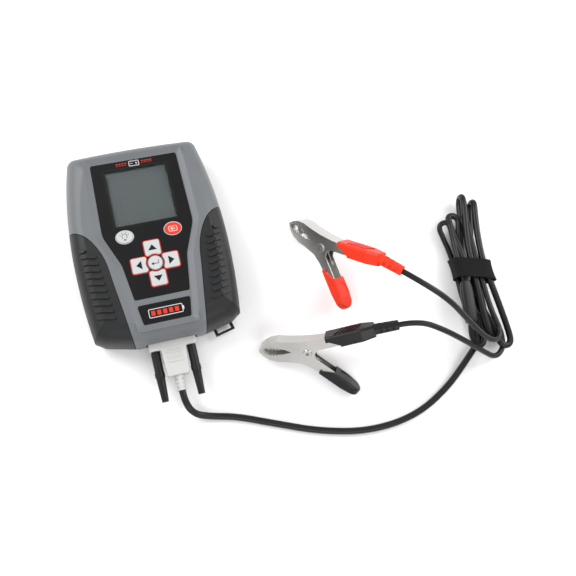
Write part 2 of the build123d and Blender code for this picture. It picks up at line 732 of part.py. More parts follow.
# ================================================================ batteries
def make_batteries():
    """Six cells side by side, their contact plates and the sliding door."""
    cell_axis = compartment_top - 0.8 - CELL_DIAMETER / 2
    with BuildPart() as cells:
        with BuildSketch(Plane(origin=(0, 0, cell_axis), x_dir=(0, 1, 0), z_dir=(1, 0, 0))):
            with GridLocations(CELL_PITCH, 0, CELL_COUNT, 1):
                Circle(CELL_DIAMETER / 2)
        extrude(amount=(CELL_LENGTH - 1.2) / 2, both=True)
        with BuildSketch(Plane(origin=(0, 0, cell_axis), x_dir=(0, 1, 0), z_dir=(1, 0, 0))):
            with GridLocations(CELL_PITCH, 0, CELL_COUNT, 1):
                Circle(2.6)
        extrude(amount=CELL_LENGTH / 2 + 0.6, both=True)
    finish(cells, "battery_cells")

    with BuildPart() as contacts:
        for side in (-1, 1):
            face_x = side * compartment_width / 2
            with BuildSketch(Plane(origin=(face_x, 0, cell_axis), x_dir=(0, 1, 0), z_dir=(-side, 0, 0))):
                with GridLocations(2 * CELL_PITCH, 0, CELL_COUNT // 2, 1):
                    Rectangle(CELL_PITCH * 2 - 2.5, CELL_DIAMETER - 4)
            extrude(amount=0.6)
    finish(contacts, "battery_contacts")

    with BuildPart() as door:
        with BuildSketch(Plane.XY.offset(DOOR_RECESS)) as plate:
            Rectangle(door_width, door_length)
            fillet(plate.vertices(), 1.5)
        extrude(amount=DOOR_THICKNESS)
        with BuildSketch(Plane.XY.offset(DOOR_RECESS)):
            with Locations((0, -door_length / 2 + 14)):
                with GridLocations(0, 3.0, 1, 5):
                    SlotOverall(26, 1.4)
        extrude(amount=0.7, mode=Mode.SUBTRACT)
    finish(door, "battery_door")


# ================================================================ data socket and plug
flange_y = recess_floor + WALL + 1.2


def make_socket():
    """Fifteen-way socket in the end wall, with its two threaded posts."""
    with BuildPart() as socket:
        with BuildSketch(end_plane(flange_y + 0.8)) as flange:
            with Locations((0, PLUG_HEIGHT)):
                Rectangle(FLANGE_WIDTH, FLANGE_THICKNESS)
            with Locations(*jack_places):
                Circle(1.7, mode=Mode.SUBTRACT)
        extrude(amount=0.8)
        with BuildSketch(end_plane(flange_y + 12.0)):
            with Locations((0, PLUG_HEIGHT)):
                Rectangle(SHELL_WIDTH - 1.4, SHELL_THICKNESS - 1.4)
        extrude(amount=14.6)
    finish(socket, "data_socket")
    with BuildPart() as posts:
        for side in (-1, 1):
            with BuildSketch(end_plane(flange_y)):
                with Locations((side * JACK_SPACING / 2, PLUG_HEIGHT)):
                    RegularPolygon(2.6, 6)
                    Circle(1.7, mode=Mode.SUBTRACT)
            extrude(amount=flange_y - recess_floor - 0.4)
    finish(posts, "jack_posts")


hood_y = recess_floor - 0.3
hood_end = hood_y - HOOD_LENGTH


def hood_outline():
    """Plan outline of the plug's hood: a wide head with ears and a tapering neck."""
    head = HOOD_WIDTH / 2
    neck = HOOD_NECK_WIDTH / 2
    tail = HOOD_TAIL_WIDTH / 2
    shoulder = hood_y - HOOD_HEAD_LENGTH
    Polygon(
        (head, hood_y), (head, shoulder), (neck, shoulder), (tail, hood_end),
        (-tail, hood_end), (-neck, shoulder), (-head, shoulder), (-head, hood_y), align=None,
    )


def make_hood():
    """Two-part hood, plug insert, assembly screws and cable relief."""
    for name, base, lift in (
        ("hood_upper", PLUG_HEIGHT, 1), ("hood_lower", PLUG_HEIGHT, -1),
    ):
        with BuildPart() as hood:
            with BuildSketch(Plane.XY.offset(base)) as plan:
                hood_outline()
                fillet(plan.vertices(), 1.6)
            extrude(amount=lift * HOOD_THICKNESS / 2)
            outer_face = hood.faces().sort_by(Axis.Z)[-1 if lift > 0 else 0]
            fillet(outer_face.edges(), 1.3)
            with BuildSketch(Plane.XY.offset(base)):
                with Locations((0, (hood_y + hood_end) / 2)):
                    Rectangle(SHELL_WIDTH - 10, HOOD_LENGTH - 2 * HOOD_WALL)
            extrude(amount=lift * (HOOD_THICKNESS / 2 - HOOD_WALL), mode=Mode.SUBTRACT)
            with BuildSketch(end_plane(hood_y + 1)):
                with Locations((0, PLUG_HEIGHT)):
                    Rectangle(SHELL_WIDTH + 2, SHELL_THICKNESS + 2)
            extrude(amount=7.0, mode=Mode.SUBTRACT)
            with BuildSketch(end_plane(hood_y + 1)):
                with Locations(*jack_places):
                    Circle(1.4 + THUMB_CLEARANCE)
            extrude(amount=30, mode=Mode.SUBTRACT)
            with BuildSketch(end_plane(hood_end + 6)):
                with Locations((0, PLUG_HEIGHT)):
                    Circle(RELIEF_RADIUS - 1.2)
            extrude(amount=10, mode=Mode.SUBTRACT)
            if lift > 0:
                with BuildSketch(Plane.XY.offset(PLUG_HEIGHT + HOOD_THICKNESS / 2)) as badge:
                    with Locations((0, hood_y - 5.6)):
                        Rectangle(22, 7.6)
                    fillet(badge.vertices(), 0.8)
                extrude(amount=0.5)
                with BuildSketch(Plane.XY.offset(PLUG_HEIGHT + HOOD_THICKNESS / 2)):
                    with Locations((0, hood_y - 19.0)):
                        with GridLocations(0, 4.2, 1, 3):
                            SlotOverall(13, 1.8)
                extrude(amount=0.7)
        finish(hood, name)

    with BuildPart() as insert:
        with BuildSketch(end_plane(hood_y - 0.2)):
            with Locations((0, PLUG_HEIGHT)):
                Rectangle(SHELL_WIDTH + 1.6, SHELL_THICKNESS + 1.6)
        extrude(amount=5.0)
        with BuildSketch(end_plane(hood_y - 0.2)):
            with Locations((0, PLUG_HEIGHT)):
                Rectangle(SHELL_WIDTH, SHELL_THICKNESS)
                Rectangle(SHELL_WIDTH - 0.9, SHELL_THICKNESS - 0.9, mode=Mode.SUBTRACT)
        extrude(amount=-3.4)
    finish(insert, "plug_insert")

    with BuildPart() as relief:
        with BuildSketch(end_plane(hood_end)):
            with Locations((0, PLUG_HEIGHT)):
                Circle(RELIEF_RADIUS)
        extrude(amount=RELIEF_LENGTH, taper=2)
        with BuildSketch(end_plane(hood_end + 4)):
            with Locations((0, PLUG_HEIGHT)):
                Circle(RELIEF_RADIUS - 1.2)
        extrude(amount=4)
        for row in range(3):
            slot_y = hood_end - 3.4 - 3.6 * row
            with BuildSketch(end_plane(slot_y)):
                with Locations((0, PLUG_HEIGHT)):
                    Circle(RELIEF_RADIUS + 1)
                    Circle(RELIEF_RADIUS - 1.1, mode=Mode.SUBTRACT)
                    Rectangle(2.2, 2 * RELIEF_RADIUS + 4, mode=Mode.SUBTRACT)
            extrude(amount=1.5, mode=Mode.SUBTRACT)
    finish(relief, "plug_relief")


def make_thumbscrew(name, side):
    """Long thumbscrew: threaded tip, plain barrel, collar and fluted, tapering grip."""
    x = side * JACK_SPACING / 2
    barrel_y = hood_y - HOOD_HEAD_LENGTH - 0.4
    with BuildPart() as screw:
        with BuildSketch(end_plane(barrel_y)):
            with Locations((x, PLUG_HEIGHT)):
                Circle(1.4)
        extrude(amount=-(HOOD_HEAD_LENGTH + 0.4 + 3.0))
        with BuildSketch(end_plane(barrel_y)):
            with Locations((x, PLUG_HEIGHT)):
                Circle(THUMB_RADIUS - 0.4)
        extrude(amount=19.0)
        with BuildSketch(end_plane(barrel_y - 19.0)):
            with Locations((x, PLUG_HEIGHT)):
                Circle(THUMB_RADIUS)
        extrude(amount=4.6)
        with BuildSketch(end_plane(barrel_y - 23.6)):
            with Locations((x, PLUG_HEIGHT)):
                Circle(THUMB_RADIUS - 0.5)
        with BuildSketch(end_plane(barrel_y - THUMB_LENGTH)):
            with Locations((x, PLUG_HEIGHT)):
                Circle(THUMB_TIP_RADIUS)
        loft()
        with BuildSketch(end_plane(barrel_y - 25.0)):
            with Locations((x, PLUG_HEIGHT)):
                with PolarLocations(THUMB_RADIUS - 0.2, 10):
                    Circle(0.55)
        extrude(amount=THUMB_LENGTH - 25.0, mode=Mode.SUBTRACT)
    finish(screw, name)


# ================================================================ cords
def bend_radii(points):
    """Largest radii that the runs between the points allow, one for each inner point."""
    radii = []
    for before, here, after in zip(points, points[1:], points[2:]):
        first = Vector(*here) - Vector(*before)
        second = Vector(*after) - Vector(*here)
        turn = acos(max(-1.0, min(1.0, first.normalized().dot(second.normalized()))))
        radii.append(0.45 * min(first.length, second.length) / tan(turn / 2))
    return radii


def make_cord(name, points, diameter):
    """A cord's tube along straight runs joined by tangent arcs."""
    radii = bend_radii(points)
    with BuildPart() as cord:
        with BuildLine() as route:
            FilletPolyline(*points, radius=radii)
        wire = route.wires()[0]
        with BuildSketch(Plane(origin=wire @ 0, z_dir=wire % 0)):
            Circle(diameter / 2)
        sweep()
    length = wire.length
    print(
        name, "length", round(length, 1), "radii", [round(r) for r in radii],
        "volume ratio", round(cord.part.volume / (pi * diameter**2 / 4 * length), 4),
    )
    finish(cord, name)
    return cord.part


HANK_BASE = 2.0
HANK_THICKNESS = 25.0
HANK_OUTLINE = [
    (279.0, -152.0), (281.0, -118.0), (288.5, -98.0), (291.5, -74.0), (286.0, -42.0),
    (296.0, -24.0), (322.0, -9.0), (334.0, -24.0), (325.5, -72.0), (326.5, -98.0),
    (332.0, -118.0), (333.0, -150.0), (325.0, -172.0), (298.0, -175.0),
]
HANK_CORNER = 9.0
STRAP_PLACE = (307.0, -88.0)
STRAP_TURN = -16.0
STRAP_WIDTH = 21.0
STRAP_THICKNESS = 1.5
SPLITTER_WIDTH = 13.0
SPLITTER_THICKNESS = 7.5
SPLITTER_ENDS = ((291.5, -99.0), (286.0, -140.0))


def hank_solid(grow):
    """Outer shape of the tied hank, grown all round by grow."""
    with BuildPart() as hank:
        with BuildSketch(Plane.XY.offset(HANK_BASE - grow)) as plan:
            Polygon(*HANK_OUTLINE, align=None)
            fillet(plan.vertices(), HANK_CORNER)
            if grow > 0:
                offset(amount=grow)
        extrude(amount=HANK_THICKNESS + 2 * grow)
        fillet(hank.edges().group_by(Axis.Z)[-1], 6.0)
    return hank.part


def make_hank(cords):
    """Hank, its strap and the splitter where the cable becomes two leads."""
    start, end = SPLITTER_ENDS
    run = Vector(end[0] - start[0], end[1] - start[1])
    base = HANK_BASE + HANK_THICKNESS - 3.0
    across = Plane(origin=(start[0], start[1], base), x_dir=(run.Y, -run.X, 0), z_dir=(run.X, run.Y, 0))
    with BuildPart() as splitter:
        with BuildSketch(across) as section:
            RectangleRounded(SPLITTER_WIDTH, SPLITTER_THICKNESS, 2.5)
        extrude(amount=run.length)
    finish(splitter, "cable_splitter")
    with BuildPart() as hank:
        add(hank_solid(0.0))
        add(splitter.part, mode=Mode.SUBTRACT)
        for cord in cords:
            add(cord, mode=Mode.SUBTRACT)
    finish(hank, "cable_hank")
    with BuildPart() as strap:
        with BuildSketch(Plane.XY):
            with Locations(Location((*STRAP_PLACE, 0), STRAP_TURN)):
                Rectangle(2 * STRAP_WIDTH + 20, STRAP_WIDTH)
        extrude(amount=HANK_THICKNESS + 20)
        add(hank_solid(STRAP_THICKNESS), mode=Mode.INTERSECT)
        add(hank_solid(0.0), mode=Mode.SUBTRACT)
        add(splitter.part, mode=Mode.SUBTRACT)
    finish(strap, "hank_strap")


# ================================================================ clips
class Clip:
    """Place of one clip: its pivot, and its directions along, up through and across the jaws."""

    def __init__(self, colour, pivot, heading, pitch, roll, tail_pitch):
        self.colour = colour
        along = Vector(
            cos(radians(pitch)) * cos(radians(heading)),
            cos(radians(pitch)) * sin(radians(heading)),
            sin(radians(pitch)),
        )
        level = Vector(-sin(radians(heading)), cos(radians(heading)), 0)
        rise = along.cross(level)
        up = level * cos(radians(roll)) + rise * sin(radians(roll))
        self.along = along
        self.up = up
        self.across = along.cross(up)
        self.pivot = Vector(*pivot)
        self.side = Plane(origin=pivot, x_dir=along, z_dir=self.across)
        self.tail_pitch = tail_pitch

    def arm_plane(self, angle, distance, lift):
        """Plane across an arm at a distance from the pivot, its y away from the other arm."""
        direction = self.along * cos(radians(angle)) + self.up * sin(radians(angle))
        outward = self.up * cos(radians(angle)) - self.along * sin(radians(angle))
        origin = self.pivot + direction * distance + outward * lift
        return Plane(origin=origin, x_dir=outward.cross(direction), z_dir=direction)

    def arm_flat(self, angle, distance, lift):
        """Plane along an arm, its x down the arm and its normal away from the clip's axis."""
        across = self.arm_plane(angle, distance, lift)
        return Plane(origin=across.origin, x_dir=across.z_dir, z_dir=across.y_dir)

    def tail_plane(self, distance):
        """Plane across the boot's cord relief, which sags towards the level."""
        root = self.arm_plane(UPPER_ARM_ANGLE, ARM_START + BOOT_LENGTH, BOOT_LIFT)
        level = Vector(root.z_dir.X, root.z_dir.Y, 0).normalized()
        lift = radians(self.tail_pitch)
        direction = level * cos(lift) + Vector(0, 0, sin(lift))
        return Plane(origin=root.origin + direction * distance, z_dir=direction)


def arm_points(angle, distance, lift):
    """Point in the clip's side plane at a distance along an arm and a lift off its line."""
    a = radians(angle)
    return (distance * cos(a) - lift * sin(a), distance * sin(a) + lift * cos(a))


def mirror_points(points):
    """The same points on the other side of the jaw line."""
    return [(x, -y) for x, y in points]


def jaw_profile(arm_angle):
    """Side view of one jaw and its arm, from the tip along the web and back along the mouth."""
    return [
        (-JAW_LENGTH, JAW_GAP), (-JAW_LENGTH + 0.4, 1.8), (-JAW_LENGTH + 4.5, 6.0),
        (-JAW_LENGTH + 9.5, 9.0), (-JAW_LENGTH + 17.0, 10.8), (-JAW_LENGTH + 26.0, 10.6), (-6.0, 11.4),
        arm_points(arm_angle, 12.0, ARM_DEPTH + 2.4),
        arm_points(arm_angle, ARM_LENGTH, ARM_DEPTH),
        arm_points(arm_angle, ARM_LENGTH, 0.6),
        arm_points(arm_angle, 10.0, 0.6),
        (5.6, -2.4), (0.0, -5.4), (-5.6, -2.4), (-9.0, JAW_GAP), (-15.0, JAW_GAP),
        (-22.0, MOUTH_DEPTH * 0.6), (-31.0, MOUTH_DEPTH), (-37.0, MOUTH_DEPTH), (-41.5, MOUTH_DEPTH * 0.55),
        (-44.0, JAW_GAP),
    ]


def jaw_inner(arm_angle):
    """Side view of the hollow under a jaw's web."""
    return [
        (-JAW_LENGTH + 1.6, -8.0), (-JAW_LENGTH + 1.6, 1.4), (-JAW_LENGTH + 5.2, 5.0),
        (-JAW_LENGTH + 10.0, 7.9), (-JAW_LENGTH + 17.2, 9.7), (-JAW_LENGTH + 26.0, 9.5), (-5.8, 10.3),
        arm_points(arm_angle, 12.2, ARM_DEPTH + 1.3),
        arm_points(arm_angle, ARM_LENGTH + 2, ARM_DEPTH - 1.1),
        arm_points(arm_angle, ARM_LENGTH + 2, -9.0), (0.0, -9.0),
    ]


def jaw_side(points, flip):
    """Points of the upper jaw's side view, mirrored when they are for the lower jaw."""
    return mirror_points(points) if flip else points


def arm_envelope(clip, arm_angle, flip, width):
    """Everything inside a jaw's outer faces, the space that a boot or a sleeve leaves for it."""
    with BuildPart() as envelope:
        with BuildSketch(clip.side):
            Polygon(*jaw_side(jaw_profile(arm_angle), flip), align=None)
        extrude(amount=width / 2, both=True)
    return envelope.part


def side_notch(clip, arm_angle, flip, width):
    """Wedge left out of a soft part's sides, where the cheek's pointed end shows."""
    wedge = [
        arm_points(arm_angle, ARM_START - 1.0, -4.0),
        arm_points(arm_angle, ARM_START - 1.0, 6.6),
        arm_points(arm_angle, ARM_START + 3.0, 6.6),
        arm_points(arm_angle, ARM_START + NOTCH_LENGTH, 0.8),
        arm_points(arm_angle, ARM_START + NOTCH_LENGTH - 2.0, -4.0),
    ]
    with BuildPart() as notch:
        with BuildSketch(clip.side):
            Polygon(*jaw_side(wedge, flip), align=None)
        extrude(amount=width / 2 + 4.0, both=True)
    return notch.part


def make_jaw(clip, name, arm_angle, flip, width, hole):
    """One folded-sheet jaw: a channel whose cheeks leave a lens-shaped mouth with teeth."""
    first = -36.5
    with BuildPart() as jaw:
        with BuildSketch(clip.side):
            Polygon(*jaw_side(jaw_profile(arm_angle), flip), align=None)
            for index in range(TOOTH_COUNT):
                x = first + TOOTH_PITCH * index
                drop = MOUTH_DEPTH - 1.9 - 0.25 * index
                tooth = [(x - 1.4, MOUTH_DEPTH + 0.3), (x + 1.4, MOUTH_DEPTH + 0.3), (x, drop)]
                Polygon(*jaw_side(tooth, flip), align=None)
        extrude(amount=width / 2, both=True)
        with BuildSketch(clip.side):
            Polygon(*jaw_side(jaw_inner(arm_angle), flip), align=None)
        extrude(amount=width / 2 - CLIP_SHEET, both=True, mode=Mode.SUBTRACT)
        with BuildSketch(clip.side):
            Circle(hole)
        extrude(amount=width, both=True, mode=Mode.SUBTRACT)
    finish(jaw, name)


def make_rivet(clip):
    """Hollow rivet with a rolled head at each end."""
    with BuildPart() as rivet:
        with BuildSketch(clip.side):
            Circle(RIVET_RADIUS)
        extrude(amount=CLIP_WIDTH / 2 + 0.2, both=True)
        for end in (-1, 1):
            with BuildSketch(clip.side.offset(end * CLIP_WIDTH / 2)):
                Circle(RIVET_HEAD_RADIUS)
            extrude(amount=end * RIVET_HEAD_HEIGHT, taper=24)
            with BuildSketch(clip.side.offset(end * (CLIP_WIDTH / 2 + RIVET_HEAD_HEIGHT))):
                Circle(RIVET_RADIUS - 0.3)
            extrude(amount=-end * 3.0, mode=Mode.SUBTRACT)
    finish(rivet, f"{clip.colour}_rivet")


def make_spring(clip, width):
    """Torsion spring round the rivet: its coils as one ring, with one leg to each arm."""
    with BuildPart() as spring:
        with BuildSketch(clip.side):
            Circle(5.0)
            Circle(RIVET_RADIUS + 1.2, mode=Mode.SUBTRACT)
        extrude(amount=width / 2 - CLIP_SHEET - 0.8, both=True)
        for angle, side in ((UPPER_ARM_ANGLE + 6, 1), (-LOWER_ARM_ANGLE - 2, -1)):
            with BuildSketch(clip.arm_plane(angle, 3.5, 0)):
                with Locations((side * 2.0, side * 3.2)):
                    Circle(0.8)
            extrude(amount=17)
    finish(spring, f"{clip.colour}_spring")


def make_boot(clip):
    """Soft boot over the upper arm: ribbed block, neck and slotted, tapering cord relief."""
    width = CLIP_WIDTH + 2 * BOOT_WALL
    depth = ARM_DEPTH + 2.0 + 2 * BOOT_WALL
    with BuildPart() as boot:
        for distance, across, deep in (
            (ARM_START, width, depth),
            (ARM_START + BOOT_BLOCK_LENGTH, width, depth),
            (ARM_START + BOOT_LENGTH, 2.3 * BOOT_TAIL_RADIUS, 2.2 * BOOT_TAIL_RADIUS),
        ):
            with BuildSketch(clip.arm_plane(UPPER_ARM_ANGLE, distance, BOOT_LIFT)):
                RectangleRounded(across, deep, 2.4)
        loft(ruled=True)
        with BuildSketch(clip.tail_plane(-3.0)):
            Circle(BOOT_TAIL_RADIUS)
        extrude(amount=BOOT_TAIL_LENGTH + 3.0, taper=1.5)
        with BuildSketch(clip.arm_flat(UPPER_ARM_ANGLE, ARM_START, BOOT_LIFT + depth / 2 - 0.3)):
            for index in range(BOOT_RIB_COUNT):
                with Locations(Location((13.0 + 4.2 * index, 0, 0), 52)):
                    SlotOverall(13.0, 1.6)
        extrude(amount=1.1)
        for index in range(RELIEF_SLOT_COUNT):
            with BuildSketch(clip.tail_plane(3.5 + 5.8 * index)):
                with PolarLocations(BOOT_TAIL_RADIUS, 4, start_angle=45):
                    Rectangle(2.6, 3.6)
            extrude(amount=2.4, mode=Mode.SUBTRACT)
        add(arm_envelope(clip, UPPER_ARM_ANGLE, False, CLIP_WIDTH), mode=Mode.SUBTRACT)
        add(side_notch(clip, UPPER_ARM_ANGLE, False, CLIP_WIDTH), mode=Mode.SUBTRACT)
    finish(boot, f"{clip.colour}_boot")


def make_sleeve(clip, arm_width):
    """Soft sleeve over the lower handle: a paddle with a rounded, thinner end and a dished face."""
    width = arm_width + 2 * SLEEVE_WALL + 0.8
    run = SLEEVE_LENGTH - width / 2
    inner = SLEEVE_DEPTH / 2 - SLEEVE_LIFT
    outer = -SLEEVE_DEPTH / 2 - SLEEVE_LIFT
    side = [
        (ARM_START - 1.0, inner), (ARM_START - 1.0, outer), (ARM_LENGTH - 4.0, outer),
        (ARM_START + SLEEVE_LENGTH + 1.0, outer + 2.2), (ARM_START + SLEEVE_LENGTH + 1.0, inner - 2.2),
        (ARM_LENGTH - 4.0, inner),
    ]
    middle = clip.arm_flat(-LOWER_ARM_ANGLE, ARM_START, -SLEEVE_LIFT)
    with BuildPart() as sleeve:
        with BuildSketch(middle):
            with Locations((run / 2, 0)):
                Rectangle(run, width)
            with Locations((run, 0)):
                Circle(width / 2)
        extrude(amount=SLEEVE_DEPTH / 2 + 1.0, both=True)
        with BuildSketch(clip.side):
            Polygon(*[arm_points(-LOWER_ARM_ANGLE, *place) for place in side], align=None)
        extrude(amount=width, both=True, mode=Mode.INTERSECT)
        fillet(sleeve.edges().filter_by(lambda edge: edge.length > 12.0), 2.0)
        with BuildSketch(middle.offset(SLEEVE_DEPTH / 2 - SLEEVE_DISH_DEPTH)):
            with Locations((run - 6.0, 0)):
                SlotOverall(24.0, width - 6.0)
        extrude(amount=4.0, mode=Mode.SUBTRACT)
        add(arm_envelope(clip, LOWER_ARM_ANGLE, True, arm_width), mode=Mode.SUBTRACT)
        add(side_notch(clip, LOWER_ARM_ANGLE, True, arm_width), mode=Mode.SUBTRACT)
    finish(sleeve, f"{clip.colour}_handle_sleeve")


def make_clip(clip):
    """One clip: two jaws, rivet, spring, soft boot with cord relief, and handle sleeve."""
    lower_width = CLIP_WIDTH - 2 * CLIP_SHEET - 2 * CLIP_SIDE_GAP
    make_jaw(clip, f"{clip.colour}_upper_jaw", UPPER_ARM_ANGLE, False, CLIP_WIDTH, RIVET_RADIUS)
    make_jaw(clip, f"{clip.colour}_lower_jaw", LOWER_ARM_ANGLE, True, lower_width, RIVET_RADIUS + 0.3)
    make_rivet(clip)
    make_spring(clip, lower_width)
    make_boot(clip)
    make_sleeve(clip, lower_width)


CLIPS = [
    Clip("black", (122.1, -130.1, 19.6), -18.0, 15.0, 37.0, 8.0),
    Clip("red", (163.0, -36.8, 26.0), -60.9, 26.0, 53.4, 14.0),
]


if __name__ == "__main__":
    make_covers()
    make_grip("left_grip", -1)
    make_grip("right_grip", 1)
    make_face_sheets()
    make_display()
    make_keys()
    make_electronics()
    make_batteries()
    make_socket()
    make_hood()
    make_thumbscrew("thumbscrew_left", -1)
    make_thumbscrew("thumbscrew_right", 1)
    cords = [
        make_cord("main_cable", MAIN_ROUTE, MAIN_DIAMETER),
        make_cord("red_lead", RED_ROUTE, LEAD_DIAMETER),
        make_cord("black_lead", BLACK_ROUTE, LEAD_DIAMETER),
    ]
    make_hank(cords)
    for clip in CLIPS:
        make_clip(clip)
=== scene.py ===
"""Looks of the battery tester: camera, light, materials, cords, prints and small parts.

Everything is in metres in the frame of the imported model.  MM turns millimetres into metres.
"""

import json
from math import atan2, cos, degrees, pi, radians, sin

import bmesh
import bpy
from mathutils import Matrix, Vector


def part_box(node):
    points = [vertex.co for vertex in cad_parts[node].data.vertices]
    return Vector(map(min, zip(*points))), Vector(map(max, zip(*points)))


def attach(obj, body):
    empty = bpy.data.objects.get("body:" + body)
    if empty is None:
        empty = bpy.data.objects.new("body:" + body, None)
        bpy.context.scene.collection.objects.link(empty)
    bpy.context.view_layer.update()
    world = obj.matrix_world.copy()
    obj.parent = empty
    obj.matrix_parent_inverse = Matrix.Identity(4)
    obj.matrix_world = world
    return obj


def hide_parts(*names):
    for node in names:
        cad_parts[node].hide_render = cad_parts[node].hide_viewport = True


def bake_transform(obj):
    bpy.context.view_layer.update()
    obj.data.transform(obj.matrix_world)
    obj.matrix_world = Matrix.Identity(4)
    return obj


MM = 0.001
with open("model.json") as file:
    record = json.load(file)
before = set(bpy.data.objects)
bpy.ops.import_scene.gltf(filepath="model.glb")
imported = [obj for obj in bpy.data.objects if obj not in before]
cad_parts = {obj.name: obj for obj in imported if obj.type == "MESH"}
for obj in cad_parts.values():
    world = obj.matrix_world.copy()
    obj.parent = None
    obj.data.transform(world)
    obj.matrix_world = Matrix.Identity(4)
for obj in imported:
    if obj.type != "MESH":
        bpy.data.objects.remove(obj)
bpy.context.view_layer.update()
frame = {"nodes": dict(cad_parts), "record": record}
nodes = frame["nodes"]


# ================================================================ camera, floor and light
CAMERA_LENS = 45.94
CAMERA_SENSOR = 36.0
CAMERA_REACH = 20.0
CAMERA_PLACE = (-18.1, -212.9, 694.4)  # millimetres
CAMERA_RIGHT = (0.9598, -0.2424, 0.1413)
CAMERA_UP = (0.2033, 0.948, 0.2451)

FLOOR_HALF = 6.0
FLOOR_DROP = 0.0003
SURROUND_STRENGTH = 0.8

# name, place, aim, size and power of each soft light
LIGHTS = [
    ("key", (-0.7, 0.55, 0.9), (0.08, -0.05, 0.02), (0.7, 0.5), 10.0),
    ("side", (0.9, 0.1, 0.6), (0.1, -0.08, 0.02), (0.4, 0.8), 5.0),
    ("front", (0.1, -1.0, 0.8), (0.1, -0.1, 0.0), (0.9, 0.3), 4.0),
]


def make_camera():
    """Camera nearly overhead, turned a little about the line of sight."""
    camera = bpy.data.objects.new("camera", bpy.data.cameras.new("camera"))
    bpy.context.scene.collection.objects.link(camera)
    camera.data.lens = CAMERA_LENS
    camera.data.sensor_width = CAMERA_SENSOR
    camera.data.clip_end = CAMERA_REACH
    right = Vector(CAMERA_RIGHT)
    back = right.cross(Vector(CAMERA_UP)).normalized()
    up = back.cross(right).normalized()
    turn = Matrix((right.normalized(), up, back)).transposed().to_4x4()
    camera.matrix_world = Matrix.Translation(Vector(CAMERA_PLACE) * MM) @ turn
    bpy.context.scene.camera = camera


def make_light(name, place, aim, size, power):
    """One soft area light."""
    lamp = bpy.data.lights.new(name, "AREA")
    lamp.shape = "RECTANGLE"
    lamp.size = size[0]
    lamp.size_y = size[1]
    lamp.energy = power
    light = bpy.data.objects.new(name, lamp)
    bpy.context.scene.collection.objects.link(light)
    light.location = place
    light.rotation_euler = (Vector(aim) - Vector(place)).to_track_quat("-Z", "Y").to_euler()


def make_floor():
    """Pale floor just under the tester."""
    mesh = bpy.data.meshes.new("floor")
    corners = [(x * FLOOR_HALF, y * FLOOR_HALF, 0) for x, y in ((-1, -1), (1, -1), (1, 1), (-1, 1))]
    mesh.from_pydata(corners, [], [(0, 1, 2, 3)])
    floor = bpy.data.objects.new("floor", mesh)
    bpy.context.scene.collection.objects.link(floor)
    floor.location.z = -FLOOR_DROP
    floor.data.materials.append(make_material("floor_white", (0.93, 0.93, 0.93), 0.9, variation=0.0))


def make_stage():
    """Floor, bright surround and three soft lights."""
    make_floor()
    world = bpy.data.worlds.new("surround")
    world.use_nodes = True
    background = world.node_tree.nodes["Background"]
    background.inputs["Color"].default_value = (1.0, 1.0, 1.0, 1.0)
    background.inputs["Strength"].default_value = SURROUND_STRENGTH
    bpy.context.scene.world = world
    bpy.context.scene.view_settings.view_transform = "Standard"
    for light in LIGHTS:
        make_light(*light)


# ================================================================ materials
PATCH_SCALE = 45.0
PATCH_DETAIL = 5.0
ROUGHNESS_SPREAD = 0.07
ROUGHNESS_LEAST = 0.02
WEAVE_DISTORTION = 2.0
GRAIN_DETAIL = 3.0
BUMP_DISTANCE = 0.0003
HARD_ANGLE = 32

# colour and roughness of each finish, with the settings in which it differs from make_material's
FINISHES = {
    "grey_shell": ((0.135, 0.143, 0.152), 0.42, {"grain": 1800, "bump": 0.25, "specular": 0.35}),
    "grip_rubber": ((0.012, 0.0125, 0.0135), 0.46, {"grain": 1400, "bump": 0.3, "specular": 0.3}),
    "black_sheet": ((0.006, 0.006, 0.0065), 0.4, {"grain": 2500, "bump": 0.15, "specular": 0.16}),
    "lcd_glass": ((0.098, 0.106, 0.107), 0.32, {"variation": 0.03}),
    "steel": ((0.45, 0.45, 0.45), 0.3, {"metallic": 1.0, "grain": 600, "bump": 0.05}),
    "nickel": (
        (0.56, 0.55, 0.53), 0.3, {"metallic": 1.0, "grain": 500, "bump": 0.12, "variation": 0.12},
    ),
    "key_white": ((0.46, 0.47, 0.48), 0.45, {"grain": 1500, "bump": 0.08}),
    "key_red": ((0.66, 0.03, 0.012), 0.42, {"grain": 1500, "bump": 0.08, "specular": 0.3}),
    "board": ((0.02, 0.16, 0.06), 0.4, {}),
    "black_plastic": ((0.009, 0.009, 0.0095), 0.38, {"bump": 0.15, "specular": 0.25}),
    "white_plastic": ((0.52, 0.52, 0.505), 0.35, {"bump": 0.06}),
    "ceramic": ((0.75, 0.75, 0.7), 0.7, {"bump": 0.2}),
    "cell": ((0.05, 0.05, 0.055), 0.3, {}),
    "brass": ((0.7, 0.5, 0.2), 0.3, {"metallic": 1.0}),
    "black_rubber": ((0.0075, 0.007, 0.0075), 0.34, {"grain": 700, "bump": 0.1, "specular": 0.3}),
    "red_rubber": ((0.76, 0.032, 0.008), 0.38, {"grain": 700, "bump": 0.12, "specular": 0.3}),
    "strap": ((0.008, 0.008, 0.009), 0.8, {"bump": 0.8, "weave": 900.0, "specular": 0.2}),
    "print_white": ((0.6, 0.6, 0.6), 0.5, {"variation": 0.02}),
    "print_red": ((0.6, 0.025, 0.01), 0.5, {"variation": 0.02, "specular": 0.3}),
    "print_black": ((0.008, 0.008, 0.008), 0.5, {"variation": 0.02, "specular": 0.2}),
    "print_grey": ((0.25, 0.26, 0.27), 0.5, {"variation": 0.02}),
}


